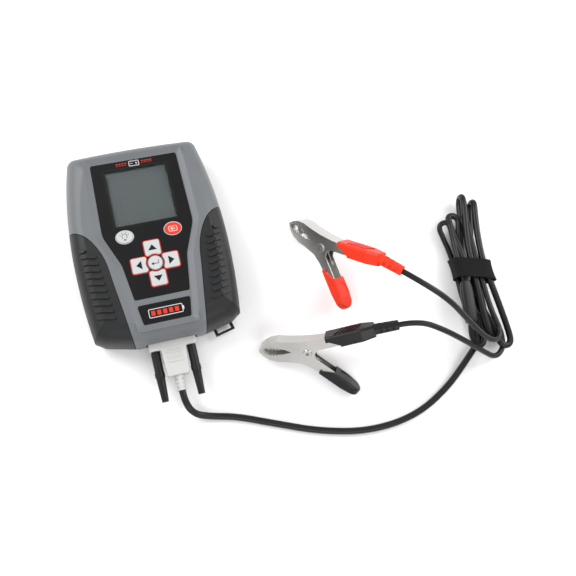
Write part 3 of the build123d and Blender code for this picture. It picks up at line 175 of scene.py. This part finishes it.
def make_material(
    name, colour, roughness, metallic=0.0, grain=900.0, bump=0.0, variation=0.06, weave=0.0, specular=0.5,
):
    """Procedural finish: mottled colour and roughness, with a fine grain or weave in the normal."""
    material = bpy.data.materials.new(name)
    material.use_nodes = True
    tree = material.node_tree
    shader = tree.nodes["Principled BSDF"]
    shader.inputs["Metallic"].default_value = metallic
    shader.inputs["Specular IOR Level"].default_value = specular
    place = tree.nodes.new("ShaderNodeTexCoord")
    patches = tree.nodes.new("ShaderNodeTexNoise")
    patches.inputs["Scale"].default_value = PATCH_SCALE
    patches.inputs["Detail"].default_value = PATCH_DETAIL
    tree.links.new(place.outputs["Object"], patches.inputs["Vector"])
    tint = tree.nodes.new("ShaderNodeMix")
    tint.data_type = "RGBA"
    tint.inputs["A"].default_value = (*[c * (1 - variation) for c in colour], 1)
    tint.inputs["B"].default_value = (*[min(1.0, c * (1 + variation)) for c in colour], 1)
    tree.links.new(patches.outputs["Fac"], tint.inputs["Factor"])
    tree.links.new(tint.outputs["Result"], shader.inputs["Base Color"])
    spread = tree.nodes.new("ShaderNodeMapRange")
    spread.inputs["To Min"].default_value = max(ROUGHNESS_LEAST, roughness - ROUGHNESS_SPREAD)
    spread.inputs["To Max"].default_value = min(1.0, roughness + ROUGHNESS_SPREAD)
    tree.links.new(patches.outputs["Fac"], spread.inputs["Value"])
    tree.links.new(spread.outputs["Result"], shader.inputs["Roughness"])
    if bump > 0:
        if weave > 0:
            grains = tree.nodes.new("ShaderNodeTexWave")
            grains.inputs["Scale"].default_value = weave
            grains.inputs["Distortion"].default_value = WEAVE_DISTORTION
        else:
            grains = tree.nodes.new("ShaderNodeTexNoise")
            grains.inputs["Scale"].default_value = grain
            grains.inputs["Detail"].default_value = GRAIN_DETAIL
        tree.links.new(place.outputs["Object"], grains.inputs["Vector"])
        relief = tree.nodes.new("ShaderNodeBump")
        relief.inputs["Strength"].default_value = bump
        relief.inputs["Distance"].default_value = BUMP_DISTANCE
        tree.links.new(grains.outputs["Fac"], relief.inputs["Height"])
        tree.links.new(relief.outputs["Normal"], shader.inputs["Normal"])
    return material


def make_clear(name):
    """Clear screen window with a faint tint."""
    material = make_material(name, (0.9, 0.93, 0.93), 0.12, variation=0.0)
    shader = material.node_tree.nodes["Principled BSDF"]
    shader.inputs["Transmission Weight"].default_value = 1.0
    shader.inputs["IOR"].default_value = 1.1
    return material


MATERIALS = {
    name: make_material(name, colour, roughness, **settings)
    for name, (colour, roughness, settings) in FINISHES.items()
}
MATERIALS["window"] = make_clear("window")


def hold_edges(piece, angle):
    """Mark a mesh's edges sharper than an angle as hard, so that smooth shading stops there."""
    mesh = bmesh.new()
    mesh.from_mesh(piece.data)
    mesh.edges.ensure_lookup_table()
    sharp = [
        len(edge.link_faces) != 2 or edge.calc_face_angle(0.0) > radians(angle)
        for edge in mesh.edges
    ]
    mesh.free()
    for edge, hard in zip(piece.data.edges, sharp):
        edge.use_edge_sharp = hard


def dress_nodes():
    """Give each CAD node the finish of its slot, and smooth shading between its hard edges."""
    for part in frame["record"]["subparts"]:
        piece = nodes[part["node"]]
        piece.data.materials.clear()
        piece.data.materials.append(MATERIALS[part["material_slot"]])
        for face in piece.data.polygons:
            face.use_smooth = True
        hold_edges(piece, HARD_ANGLE)


def new_piece(name, mesh, material, body):
    """A mesh piece with its finish, which rides on a body unless body is None."""
    piece = bpy.data.objects.new(name, mesh)
    bpy.context.scene.collection.objects.link(piece)
    piece.data.materials.append(MATERIALS[material])
    if body:
        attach(piece, body)
    return piece


# ================================================================ prints on flat faces
PRINT_LIFT = 0.04 * MM

# the arrow keys round the centre key, seen from the middle of the keypad
ARROW_KEY_HALF = 7.1 * MM
ARROW_KEY_INNER = 7.4 * MM
ARROW_KEY_OUTER = 21.4 * MM
ARROW_KEY_HOLLOW = 8.5 * MM
ARROW_KEY_ROUND = 1.8 * MM
ARROW_LINE_GROW = 0.55 * MM
ARROW_LINE_WIDTH = 0.6 * MM
ARROW_KEYS = (("up", 0), ("left", 90), ("down", 180), ("right", 270))

ENTER_RING_RADIUS = 6.7 * MM
ENTER_RING_WIDTH = 0.5 * MM
OVAL_RIM = (8.05 * MM, 6.25 * MM)
OVAL_RIM_WIDTH = 0.55 * MM
RING_END, RING_STEPS = 351, 39  # a closed ring's last point, one step short of the full turn

LAMP_RAYS = (20, 60, 120, 160)
LAMP_MIDDLE = 0.6
RAY_START, RAY_END = 3.3, 4.6

TITLE_BARS = 4
TITLE_BAR_START, TITLE_BAR_PITCH, TITLE_BAR_LENGTH = 7.0, 2.6, 1.7

SCREEN_BORDER = (58.6 * MM, 56.0 * MM)
SCREEN_BORDER_ROUND = 0.6 * MM
SCREEN_BORDER_WIDTH = 2.0 * MM

GAUGE_SIZE = (30.0 * MM, 7.6 * MM)
GAUGE_BARS, GAUGE_BAR_PITCH = 5, 5.3
GAUGE_BAR_LEFT, GAUGE_BAR_RIGHT, GAUGE_BAR_HALF = -13.0, -9.4, 2.2


def plate_mesh(name, outlines, height):
    """Flat filled shapes, each outline a list of plan points in metres."""
    mesh = bmesh.new()
    for outline in outlines:
        corners = [mesh.verts.new((x, y, height)) for x, y in outline]
        mesh.faces.new(corners)
    bmesh.ops.triangulate(mesh, faces=mesh.faces[:])
    bmesh.ops.recalc_face_normals(mesh, faces=mesh.faces[:])
    for face in mesh.faces:
        if face.normal.z < 0:
            face.normal_flip()
    data = bpy.data.meshes.new(name)
    mesh.to_mesh(data)
    mesh.free()
    return data


def stroke(points, width, closed=True):
    """Quads that follow a line with a width, in plan."""
    quads = []
    count = len(points)
    sides = []
    for index, point in enumerate(points):
        here = Vector(point)
        before = Vector(points[(index - 1) % count]) if closed or index > 0 else here
        after = Vector(points[(index + 1) % count]) if closed or index < count - 1 else here
        along = (after - before).normalized()
        normal = Vector((-along.y, along.x)) * width / 2
        sides.append((here + normal, here - normal))
    last = count if closed else count - 1
    for index in range(last):
        a, b = sides[index], sides[(index + 1) % count]
        quads.append([tuple(a[0]), tuple(a[1]), tuple(b[1]), tuple(b[0])])
    return quads


def placed(middle, points):
    """Points given in millimetres from a middle, as plan points in metres."""
    return [(middle[0] + x * MM, middle[1] + y * MM) for x, y in points]


def line(middle, points, width):
    """An open stroke through points, with its width, in millimetres from a middle."""
    return stroke(placed(middle, points), width * MM, closed=False)


def arc(centre, radius_x, radius_y, start, end, steps=20):
    """Points along an ellipse's arc, angles in degrees."""
    points = []
    for index in range(steps + 1):
        angle = radians(start + (end - start) * index / steps)
        points.append((centre[0] + radius_x * cos(angle), centre[1] + radius_y * sin(angle)))
    return points


def ring_line(centre, radius_x, radius_y, width):
    """A closed round or oval stroke."""
    return stroke(arc(centre, radius_x, radius_y, 0, RING_END, RING_STEPS), width)


def rounded_box(centre, width, length, radius):
    """Outline of a rectangle with round corners."""
    points = []
    for corner, (sx, sy) in enumerate(((1, 1), (-1, 1), (-1, -1), (1, -1))):
        middle = (centre[0] + sx * (width / 2 - radius), centre[1] + sy * (length / 2 - radius))
        points += arc(middle, radius, radius, corner * 90, corner * 90 + 90, 6)
    return points


def turned(points, centre, degrees_turn):
    """The same points turned about a centre."""
    angle = radians(degrees_turn)
    moved = []
    for x, y in points:
        dx, dy = x - centre[0], y - centre[1]
        moved.append((
            centre[0] + dx * cos(angle) - dy * sin(angle),
            centre[1] + dx * sin(angle) + dy * cos(angle),
        ))
    return moved


def centre_of(node):
    """Middle of a node's box in plan, and its top."""
    low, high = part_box(node)
    return ((low.x + high.x) / 2, (low.y + high.y) / 2), high.z


def print_on(name, outlines, height, material, body):
    """One printed shape lying on a face."""
    return new_piece(name, plate_mesh(name, outlines, height + PRINT_LIFT), material, body)


def print_on_face(name, outlines, height, colour):
    """A print that stays on the tester's face, in white or red."""
    print_on(name, outlines, height, f"print_{colour}", "tester")


def arrow_key_line(pad, grow):
    """Outline round the upper arrow key: three straight sides and a hollow one."""
    side = ARROW_KEY_HALF + grow
    inner = ARROW_KEY_INNER - grow
    outer = ARROW_KEY_OUTER + grow
    hollow = ARROW_KEY_HOLLOW - grow
    round_by = ARROW_KEY_ROUND + grow
    half_chord = (hollow**2 - inner**2) ** 0.5
    opening = degrees(atan2(half_chord, inner))
    left, right = pad[0] - side + round_by, pad[0] + side - round_by
    top, bottom = pad[1] + outer - round_by, pad[1] + inner + round_by
    points = arc((right, top), round_by, round_by, 0, 90, 6)
    points += arc((left, top), round_by, round_by, 90, 180, 6)
    points += arc((left, bottom), round_by, round_by, 180, 262, 5)
    points += arc(pad, hollow, hollow, 90 + opening, 90 - opening, 10)
    points += arc((right, bottom), round_by, round_by, 278, 360, 5)
    return points


def print_arrow_keys(pad, sheet_top):
    """Red outlines round the arrow keys, and an arrow on each."""
    lines = []
    for _, turn in ARROW_KEYS:
        lines += stroke(turned(arrow_key_line(pad, ARROW_LINE_GROW), pad, turn), ARROW_LINE_WIDTH)
    print_on_face("arrow_key_lines", lines, sheet_top, "red")
    arrow = placed(pad, [(-4.0, 12.2), (4.0, 12.2), (0.0, 17.4)])
    for name, turn in ARROW_KEYS:
        key_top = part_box(f"key_{name}")[1].z
        shape = [turned(arrow, pad, turn)]
        print_on(f"{name}_arrow", shape, key_top, "print_black", f"{name}_button")


def print_enter_key(pad, sheet_top):
    """Grey ring round the centre key, and a return arrow on it."""
    ring = ring_line(pad, ENTER_RING_RADIUS, ENTER_RING_RADIUS, ENTER_RING_WIDTH)
    print_on("enter_ring", ring, sheet_top, "print_grey", "tester")
    key_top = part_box("key_enter")[1].z
    shape = line(pad, [(3.0, 2.2), (3.0, -0.8), (-2.0, -0.8)], 0.7)
    shape.append(placed(pad, [(-1.6, 0.8), (-3.8, -0.8), (-1.6, -2.4)]))
    print_on("enter_symbol", shape, key_top, "print_black", "enter_button")


def print_light_key(sheet_top):
    """White rim round the left oval key, and a lamp on it."""
    middle, key_top = centre_of("key_light")
    print_on_face("key_light_rim", ring_line(middle, *OVAL_RIM, OVAL_RIM_WIDTH), sheet_top, "white")
    bulb_middle = (middle[0], middle[1] + LAMP_MIDDLE * MM)
    shape = stroke(arc(bulb_middle, 2.3 * MM, 2.3 * MM, -50, 230, 16), 0.5 * MM, closed=False)
    shape += line(middle, [(-1.4, -2.4), (1.4, -2.4)], 0.5)
    shape += line(middle, [(-1.0, -3.3), (1.0, -3.3)], 0.5)
    for angle in LAMP_RAYS:
        ray = [
            (reach * cos(radians(angle)), LAMP_MIDDLE + reach * sin(radians(angle)))
            for reach in (RAY_START, RAY_END)
        ]
        shape += line(middle, ray, 0.45)
    print_on("light_symbol", shape, key_top, "print_black", "light_button")


def print_escape_key(sheet_top):
    """White rim round the right oval key, and a boxed back arrow on it."""
    middle, key_top = centre_of("key_escape")
    print_on_face("key_escape_rim", ring_line(middle, *OVAL_RIM, OVAL_RIM_WIDTH), sheet_top, "white")
    box_middle = (middle[0], middle[1] - 0.4 * MM)
    shape = stroke(rounded_box(box_middle, 7.4 * MM, 4.6 * MM, 0.8 * MM), 0.5 * MM)
    shape += line(middle, [(-0.6, -0.4), (2.2, -0.4)], 0.6)
    shape.append(placed(middle, [(-0.4, 0.9), (-2.4, -0.4), (-0.4, -1.7)]))
    print_on("escape_symbol", shape, key_top, "print_white", "escape_button")


def make_key_prints():
    """Arrows, outlines and pictograms on and round the keys."""
    pad, _ = centre_of("key_enter")
    sheet_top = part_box("keypad_overlay")[1].z
    print_arrow_keys(pad, sheet_top)
    print_enter_key(pad, sheet_top)
    print_light_key(sheet_top)
    print_escape_key(sheet_top)


def print_title():
    """Rows of short bars on both sides of a small battery, above the screen."""
    (x, _), sheet_top = centre_of("keypad_overlay")
    middle = (x, (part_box("screen_window")[1].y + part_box("keypad_overlay")[1].y) / 2)
    bars = []
    for side in (-1, 1):
        for index in range(TITLE_BARS):
            start = side * (TITLE_BAR_START + TITLE_BAR_PITCH * index)
            end = start + side * TITLE_BAR_LENGTH
            bars += line(middle, [(start, 0.9), (end, 0.9)], 0.9)
            bars += line(middle, [(start, -0.9), (end, -0.9)], 0.5)
    print_on_face("title_bars", bars, sheet_top, "red")
    case_middle = (middle[0], middle[1] - 0.3 * MM)
    case = stroke(rounded_box(case_middle, 9.0 * MM, 4.6 * MM, 0.5 * MM), 0.55 * MM)
    for side in (-1, 1):
        case += line(middle, [(side * 3.2, 2.2), (side * 1.8, 2.2)], 0.9)
    case += line(middle, [(-3.2, -0.3), (-1.2, -0.3)], 0.5)
    case += line(middle, [(1.2, -0.3), (3.2, -0.3)], 0.5)
    case += line(middle, [(2.2, 0.7), (2.2, -1.3)], 0.5)
    print_on_face("title_battery", case, sheet_top, "white")


def print_screen_border():
    """Dark border on the window's edge."""
    middle, window_top = centre_of("screen_window")
    border = stroke(rounded_box(middle, *SCREEN_BORDER, SCREEN_BORDER_ROUND), SCREEN_BORDER_WIDTH)
    print_on("screen_border", border, window_top, "print_black", "tester")


def print_plate():
    """A long battery outline with level bars on the name plate, in place of a name."""
    middle, plate_top = centre_of("name_plate")
    gauge = stroke(rounded_box(middle, *GAUGE_SIZE, 0.9 * MM), 0.6 * MM)
    gauge += line(middle, [(15.9, -1.6), (15.9, 1.6)], 1.1)
    print_on_face("plate_outline", gauge, plate_top, "white")
    bars = []
    for index in range(GAUGE_BARS):
        left = GAUGE_BAR_LEFT + GAUGE_BAR_PITCH * index
        right = GAUGE_BAR_RIGHT + GAUGE_BAR_PITCH * index
        low, high = -GAUGE_BAR_HALF, GAUGE_BAR_HALF
        bars.append(placed(middle, [(left, low), (right, low), (right, high), (left, high)]))
    print_on_face("plate_bars", bars, plate_top, "red")


# ================================================================ meshes through rings
def ring_mesh(name, rings, closed_ends=True):
    """Smooth mesh through a row of rings with equal point counts."""
    mesh = bmesh.new()
    loops = [[mesh.verts.new(point) for point in ring] for ring in rings]
    count = len(rings[0])
    for first, second in zip(loops, loops[1:]):
        for step in range(count):
            after = (step + 1) % count
            mesh.faces.new((first[step], first[after], second[after], second[step]))
    if closed_ends:
        mesh.faces.new(list(reversed(loops[0])))
        mesh.faces.new(loops[-1])
    bmesh.ops.recalc_face_normals(mesh, faces=mesh.faces[:])
    data = bpy.data.meshes.new(name)
    mesh.to_mesh(data)
    mesh.free()
    for face in data.polygons:
        face.use_smooth = True
    return data


def tube_mesh(name, points, radius, sides=10):
    """Round tube along points, closed at both ends."""
    rings = []
    reference = None
    for index, point in enumerate(points):
        before = points[max(index - 1, 0)]
        after = points[min(index + 1, len(points) - 1)]
        along = (after - before).normalized()
        if reference is None:
            reference = along.orthogonal().normalized()
        reference = (reference - along * reference.dot(along)).normalized()
        other = along.cross(reference)
        ring = []
        for step in range(sides):
            angle = 2 * pi * step / sides
            ring.append(point + (reference * cos(angle) + other * sin(angle)) * radius)
        rings.append(ring)
    return ring_mesh(name, rings)


def soft_square(angle, power):
    """Point of a square with well-rounded corners, at an angle round it."""
    x, y = cos(angle), sin(angle)
    return (abs(x) ** power * (1 if x >= 0 else -1), abs(y) ** power * (1 if y >= 0 else -1))


# ================================================================ clip springs
CLIPS = {
    "black": {"pivot": (122.1, -130.1, 19.6), "heading": -18.0, "pitch": 15.0, "roll": 37.0},
    "red": {"pivot": (163.0, -36.8, 26.0), "heading": -60.9, "pitch": 26.0, "roll": 53.4},
}
UPPER_ARM_ANGLE = 17.0
LOWER_ARM_ANGLE = -36.0

COIL_RADIUS = 4.3 * MM
COIL_HALF_WIDTH = 4.3 * MM
COIL_TURNS = 5
COIL_START = 80  # degrees from the clip's length
COIL_STEPS = 22 * COIL_TURNS
WIRE_RADIUS = 0.75 * MM
LEG_LIFT = 4.2
LEG_START, LEG_END = 5.0, 19.0


def clip_axes(clip):
    """Pivot and the directions along, up and across of a clip."""
    heading, pitch, roll = (radians(clip[key]) for key in ("heading", "pitch", "roll"))
    along = Vector((cos(pitch) * cos(heading), cos(pitch) * sin(heading), sin(pitch)))
    level = Vector((-sin(heading), cos(heading), 0))
    up = level * cos(roll) + along.cross(level) * sin(roll)
    return Vector(clip["pivot"]) * MM, along, up, along.cross(up)


def spring_leg(colour, angle, lift):
    """Points up one leg of the spring, from its end back to the coil."""
    pivot, along, up, _ = clip_axes(CLIPS[colour])
    turn = radians(angle)
    direction = along * cos(turn) + up * sin(turn)
    outward = up * cos(turn) - along * sin(turn)
    stops = (LEG_END, (LEG_START + LEG_END) / 2, LEG_START)
    return [pivot + direction * (stop * MM) + outward * lift * MM for stop in stops]


def make_spring(colour):
    """Torsion spring round the rivet, one leg under each arm."""
    pivot, along, up, across = clip_axes(CLIPS[colour])
    upper = spring_leg(colour, UPPER_ARM_ANGLE, LEG_LIFT)
    points = [point + across * COIL_HALF_WIDTH for point in upper]
    for index in range(COIL_STEPS + 1):
        angle = radians(COIL_START + 360 * COIL_TURNS * index / COIL_STEPS)
        shift = COIL_HALF_WIDTH - 2 * COIL_HALF_WIDTH * index / COIL_STEPS
        points.append(pivot + (along * cos(angle) + up * sin(angle)) * COIL_RADIUS + across * shift)
    lower = spring_leg(colour, LOWER_ARM_ANGLE, -LEG_LIFT)
    points += [point - across * COIL_HALF_WIDTH for point in reversed(lower)]
    name = f"{colour}_coil_spring"
    piece = new_piece(name, tube_mesh(name, points, WIRE_RADIUS), "nickel", None)
    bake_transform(piece)
    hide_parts(f"{colour}_spring")


# ================================================================ strap and splitter on the hank
STRAP_PLACE = (307.0, -88.0)
STRAP_SLOPE = -0.287
STRAP_SIZE = (38.0, 20.0)
STRAP_BASE, STRAP_TOP = 1.4, 25.4
STRAP_THICKNESS = 1.1
STRAP_PINCH, STRAP_PINCH_POWER = 0.7, 2.5
STRAP_INSET = 0.6
STRAP_CORNER = 0.55
STRAP_STEPS, STRAP_ROWS = 72, 13

SPLITTER_START = Vector((291.5, -98.5, 24.0))
SPLITTER_END = Vector((285.5, -140.5, 24.0))
SPLITTER_CORNER = 0.62
SPLITTER_STEPS = 40
# share of the length, half width and half height
SPLITTER_FORM = [
    (0.0, 3.4, 3.2), (0.03, 4.4, 3.4), (0.12, 5.6, 3.6), (0.3, 6.3, 3.7), (0.7, 6.4, 3.7),
    (0.9, 6.3, 3.6), (0.97, 5.9, 3.3), (1.0, 5.2, 2.8),
]


def strap_ring(share, skin):
    """Points round the strap at a share of its width, a skin's thickness out from its inside."""
    pull = skin - STRAP_PINCH * (1 - abs(2 * share - 1) ** STRAP_PINCH_POWER)
    ring = []
    for step in range(STRAP_STEPS):
        x, z = soft_square(2 * pi * step / STRAP_STEPS, STRAP_CORNER)
        across = (STRAP_SIZE[0] / 2 + pull) * x
        height = (STRAP_BASE + STRAP_TOP) / 2 + ((STRAP_TOP - STRAP_BASE) / 2 + pull - STRAP_INSET) * z
        y = STRAP_PLACE[1] + STRAP_SLOPE * across + STRAP_SIZE[1] * (share - 0.5)
        ring.append(Vector((STRAP_PLACE[0] + across, y, height)) * MM)
    return ring


def make_strap():
    """Hook-and-loop strap round the hank, slanted and pulled in at its middle."""
    shares = [row / (STRAP_ROWS - 1) for row in range(STRAP_ROWS)]
    rings = [strap_ring(share, 0.0) for share in shares]
    rings += [strap_ring(share, STRAP_THICKNESS) for share in reversed(shares)]
    rings.append(rings[0])
    strap = new_piece("hank_tie", ring_mesh("hank_tie", rings, False), "strap", "tester")
    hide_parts("hank_strap")
    return strap


def make_splitter():
    """Moulding where the cable becomes two leads: narrow at the cable, wide at the leads."""
    run = SPLITTER_END - SPLITTER_START
    side = Vector((run.y, -run.x, 0)).normalized()
    rings = []
    for share, half_width, half_height in SPLITTER_FORM:
        centre = SPLITTER_START + run * share
        ring = []
        for step in range(SPLITTER_STEPS):
            x, z = soft_square(2 * pi * step / SPLITTER_STEPS, SPLITTER_CORNER)
            ring.append((centre + side * (half_width * x) + Vector((0, 0, half_height * z))) * MM)
        rings.append(ring)
    name = "lead_splitter"
    splitter = new_piece(name, ring_mesh(name, rings), "black_rubber", "tester")
    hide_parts("cable_splitter")
    return splitter


# ================================================================ cords
MAIN_DIAMETER = 6.4 * MM
LEAD_DIAMETER = 5.4 * MM

# control points in millimetres: the routes lie in the open, the turns are tied in the hank
MAIN_ROUTE = [
    (0.0, -139.8, 17.0), (0.0, -151.0, 17.0), (6.5, -163.0, 9.0), (22.0, -168.0, 3.5),
    (44.0, -173.5, 3.3), (76.0, -187.5, 3.3), (118.0, -205.5, 3.3), (165.0, -216.5, 3.3),
    (212.0, -213.0, 3.3), (250.0, -195.0, 3.6), (279.0, -171.5, 6.0), (298.0, -154.0, 10.0),
]
RED_ROUTE = [
    (212.7, -86.5, 75.8), (227.0, -102.3, 81.1), (250.0, -121.0, 72.0), (272.0, -141.0, 50.0),
    (290.0, -157.0, 33.0), (305.0, -163.5, 24.0), (314.0, -154.0, 20.0),
]
BLACK_ROUTE = [
    (202.8, -130.1, 52.7), (222.6, -131.1, 55.5), (246.0, -144.0, 50.0), (268.0, -156.5, 36.0),
    (287.0, -168.0, 23.0), (304.0, -178.0, 12.0), (316.0, -171.0, 9.0), (319.0, -160.0, 9.0),
]
MAIN_TURNS = [
    (300.5, -132.0, 7.0), (299.5, -88.0, 5.8), (306.0, -60.0, 6.0), (315.0, -34.0, 6.0),
    (319.5, -10.0, 6.0), (319.5, -10.0, 19.2), (314.5, -34.0, 19.2), (308.0, -62.0, 19.4),
    (306.3, -88.0, 19.6), (304.5, -112.0, 19.4), (303.0, -136.0, 18.4), (304.5, -159.0, 17.0),
    (307.0, -159.0, 6.5), (309.5, -136.0, 5.8), (312.0, -112.0, 5.8), (312.5, -88.0, 5.8),
    (317.0, -62.0, 6.0), (325.0, -36.0, 6.0), (329.5, -18.0, 6.0), (329.5, -18.0, 19.2),
    (325.0, -36.0, 19.2), (320.5, -60.0, 19.4), (318.1, -88.0, 19.5), (321.0, -110.0, 18.0),
    (323.5, -130.0, 15.0), (326.0, -150.0, 12.0), (326.0, -168.0, 11.0), (314.0, -169.0, 12.0),
    (312.5, -150.0, 12.6), (304.0, -120.0, 12.8), (300.0, -88.0, 12.6), (301.0, -64.0, 12.4),
    (305.5, -48.0, 12.2), (311.5, -30.0, 11.8), (298.5, -26.0, 13.0), (298.5, -46.0, 15.0),
    (299.5, -64.0, 18.0), (300.2, -88.0, 19.6), (296.5, -97.0, 22.5), (291.5, -102.0, 24.0),
]
RED_TURNS = [
    (284.5, -141.0, 24.0), (282.0, -152.0, 21.5), (286.0, -164.0, 18.5), (297.0, -162.0, 16.0),
    (300.0, -140.0, 12.0), (309.0, -112.0, 12.4), (313.0, -88.0, 12.4), (316.0, -60.0, 11.6),
    (317.5, -39.0, 11.0), (315.0, -38.0, 20.5), (313.0, -62.0, 19.6), (312.2, -88.0, 19.5),
    (311.5, -108.0, 19.5), (311.0, -129.0, 19.8), (312.5, -142.0, 20.0),
]
BLACK_TURNS = [
    (289.0, -141.0, 22.5), (288.5, -153.0, 18.5), (289.0, -167.0, 13.5), (296.0, -163.0, 7.0),
    (294.0, -142.0, 5.5), (292.0, -112.0, 5.4), (293.5, -88.0, 5.4), (292.5, -64.0, 7.5),
    (289.5, -50.0, 9.5), (286.5, -34.5, 12.0), (298.0, -32.5, 14.5), (296.5, -50.0, 16.5),
    (294.0, -66.0, 18.0), (294.2, -88.0, 18.8), (295.0, -108.0, 17.0), (299.0, -130.0, 13.0),
    (312.0, -140.0, 10.5), (319.0, -149.0, 9.5),
]


def make_cord(name, points, diameter):
    """One cord as an open smooth curve through its route's control points."""
    curve = bpy.data.curves.new(name, "CURVE")
    curve.dimensions = "3D"
    curve.bevel_depth = diameter / 2
    curve.bevel_resolution = 6
    curve.resolution_u = 14
    curve.use_fill_caps = True
    spline = curve.splines.new("NURBS")
    spline.points.add(len(points) - 1)
    for control, point in zip(spline.points, points):
        control.co = (*(Vector(point) * MM), 1.0)
    spline.order_u = 3
    spline.use_endpoint_u = True
    cord = bpy.data.objects.new(name, curve)
    bpy.context.scene.collection.objects.link(cord)
    curve.materials.append(MATERIALS["black_rubber"])
    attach(cord, "tester")
    return cord


def make_cords():
    """The cable from the plug to the splitter, and a lead from there to each clip."""
    strap = make_strap()
    splitter = make_splitter()
    main = make_cord("test_cable", MAIN_ROUTE + MAIN_TURNS, MAIN_DIAMETER)
    red = make_cord("red_test_lead", RED_TURNS + list(reversed(RED_ROUTE)), LEAD_DIAMETER)
    black = make_cord("black_test_lead", BLACK_TURNS + list(reversed(BLACK_ROUTE)), LEAD_DIAMETER)
    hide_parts("main_cable", "cable_hank")
    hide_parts("red_lead")
    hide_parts("black_lead")


make_camera()
make_stage()
dress_nodes()
make_cords()
make_key_prints()
print_title()
print_screen_border()
print_plate()
for clip_colour in CLIPS:
    make_spring(clip_colour)
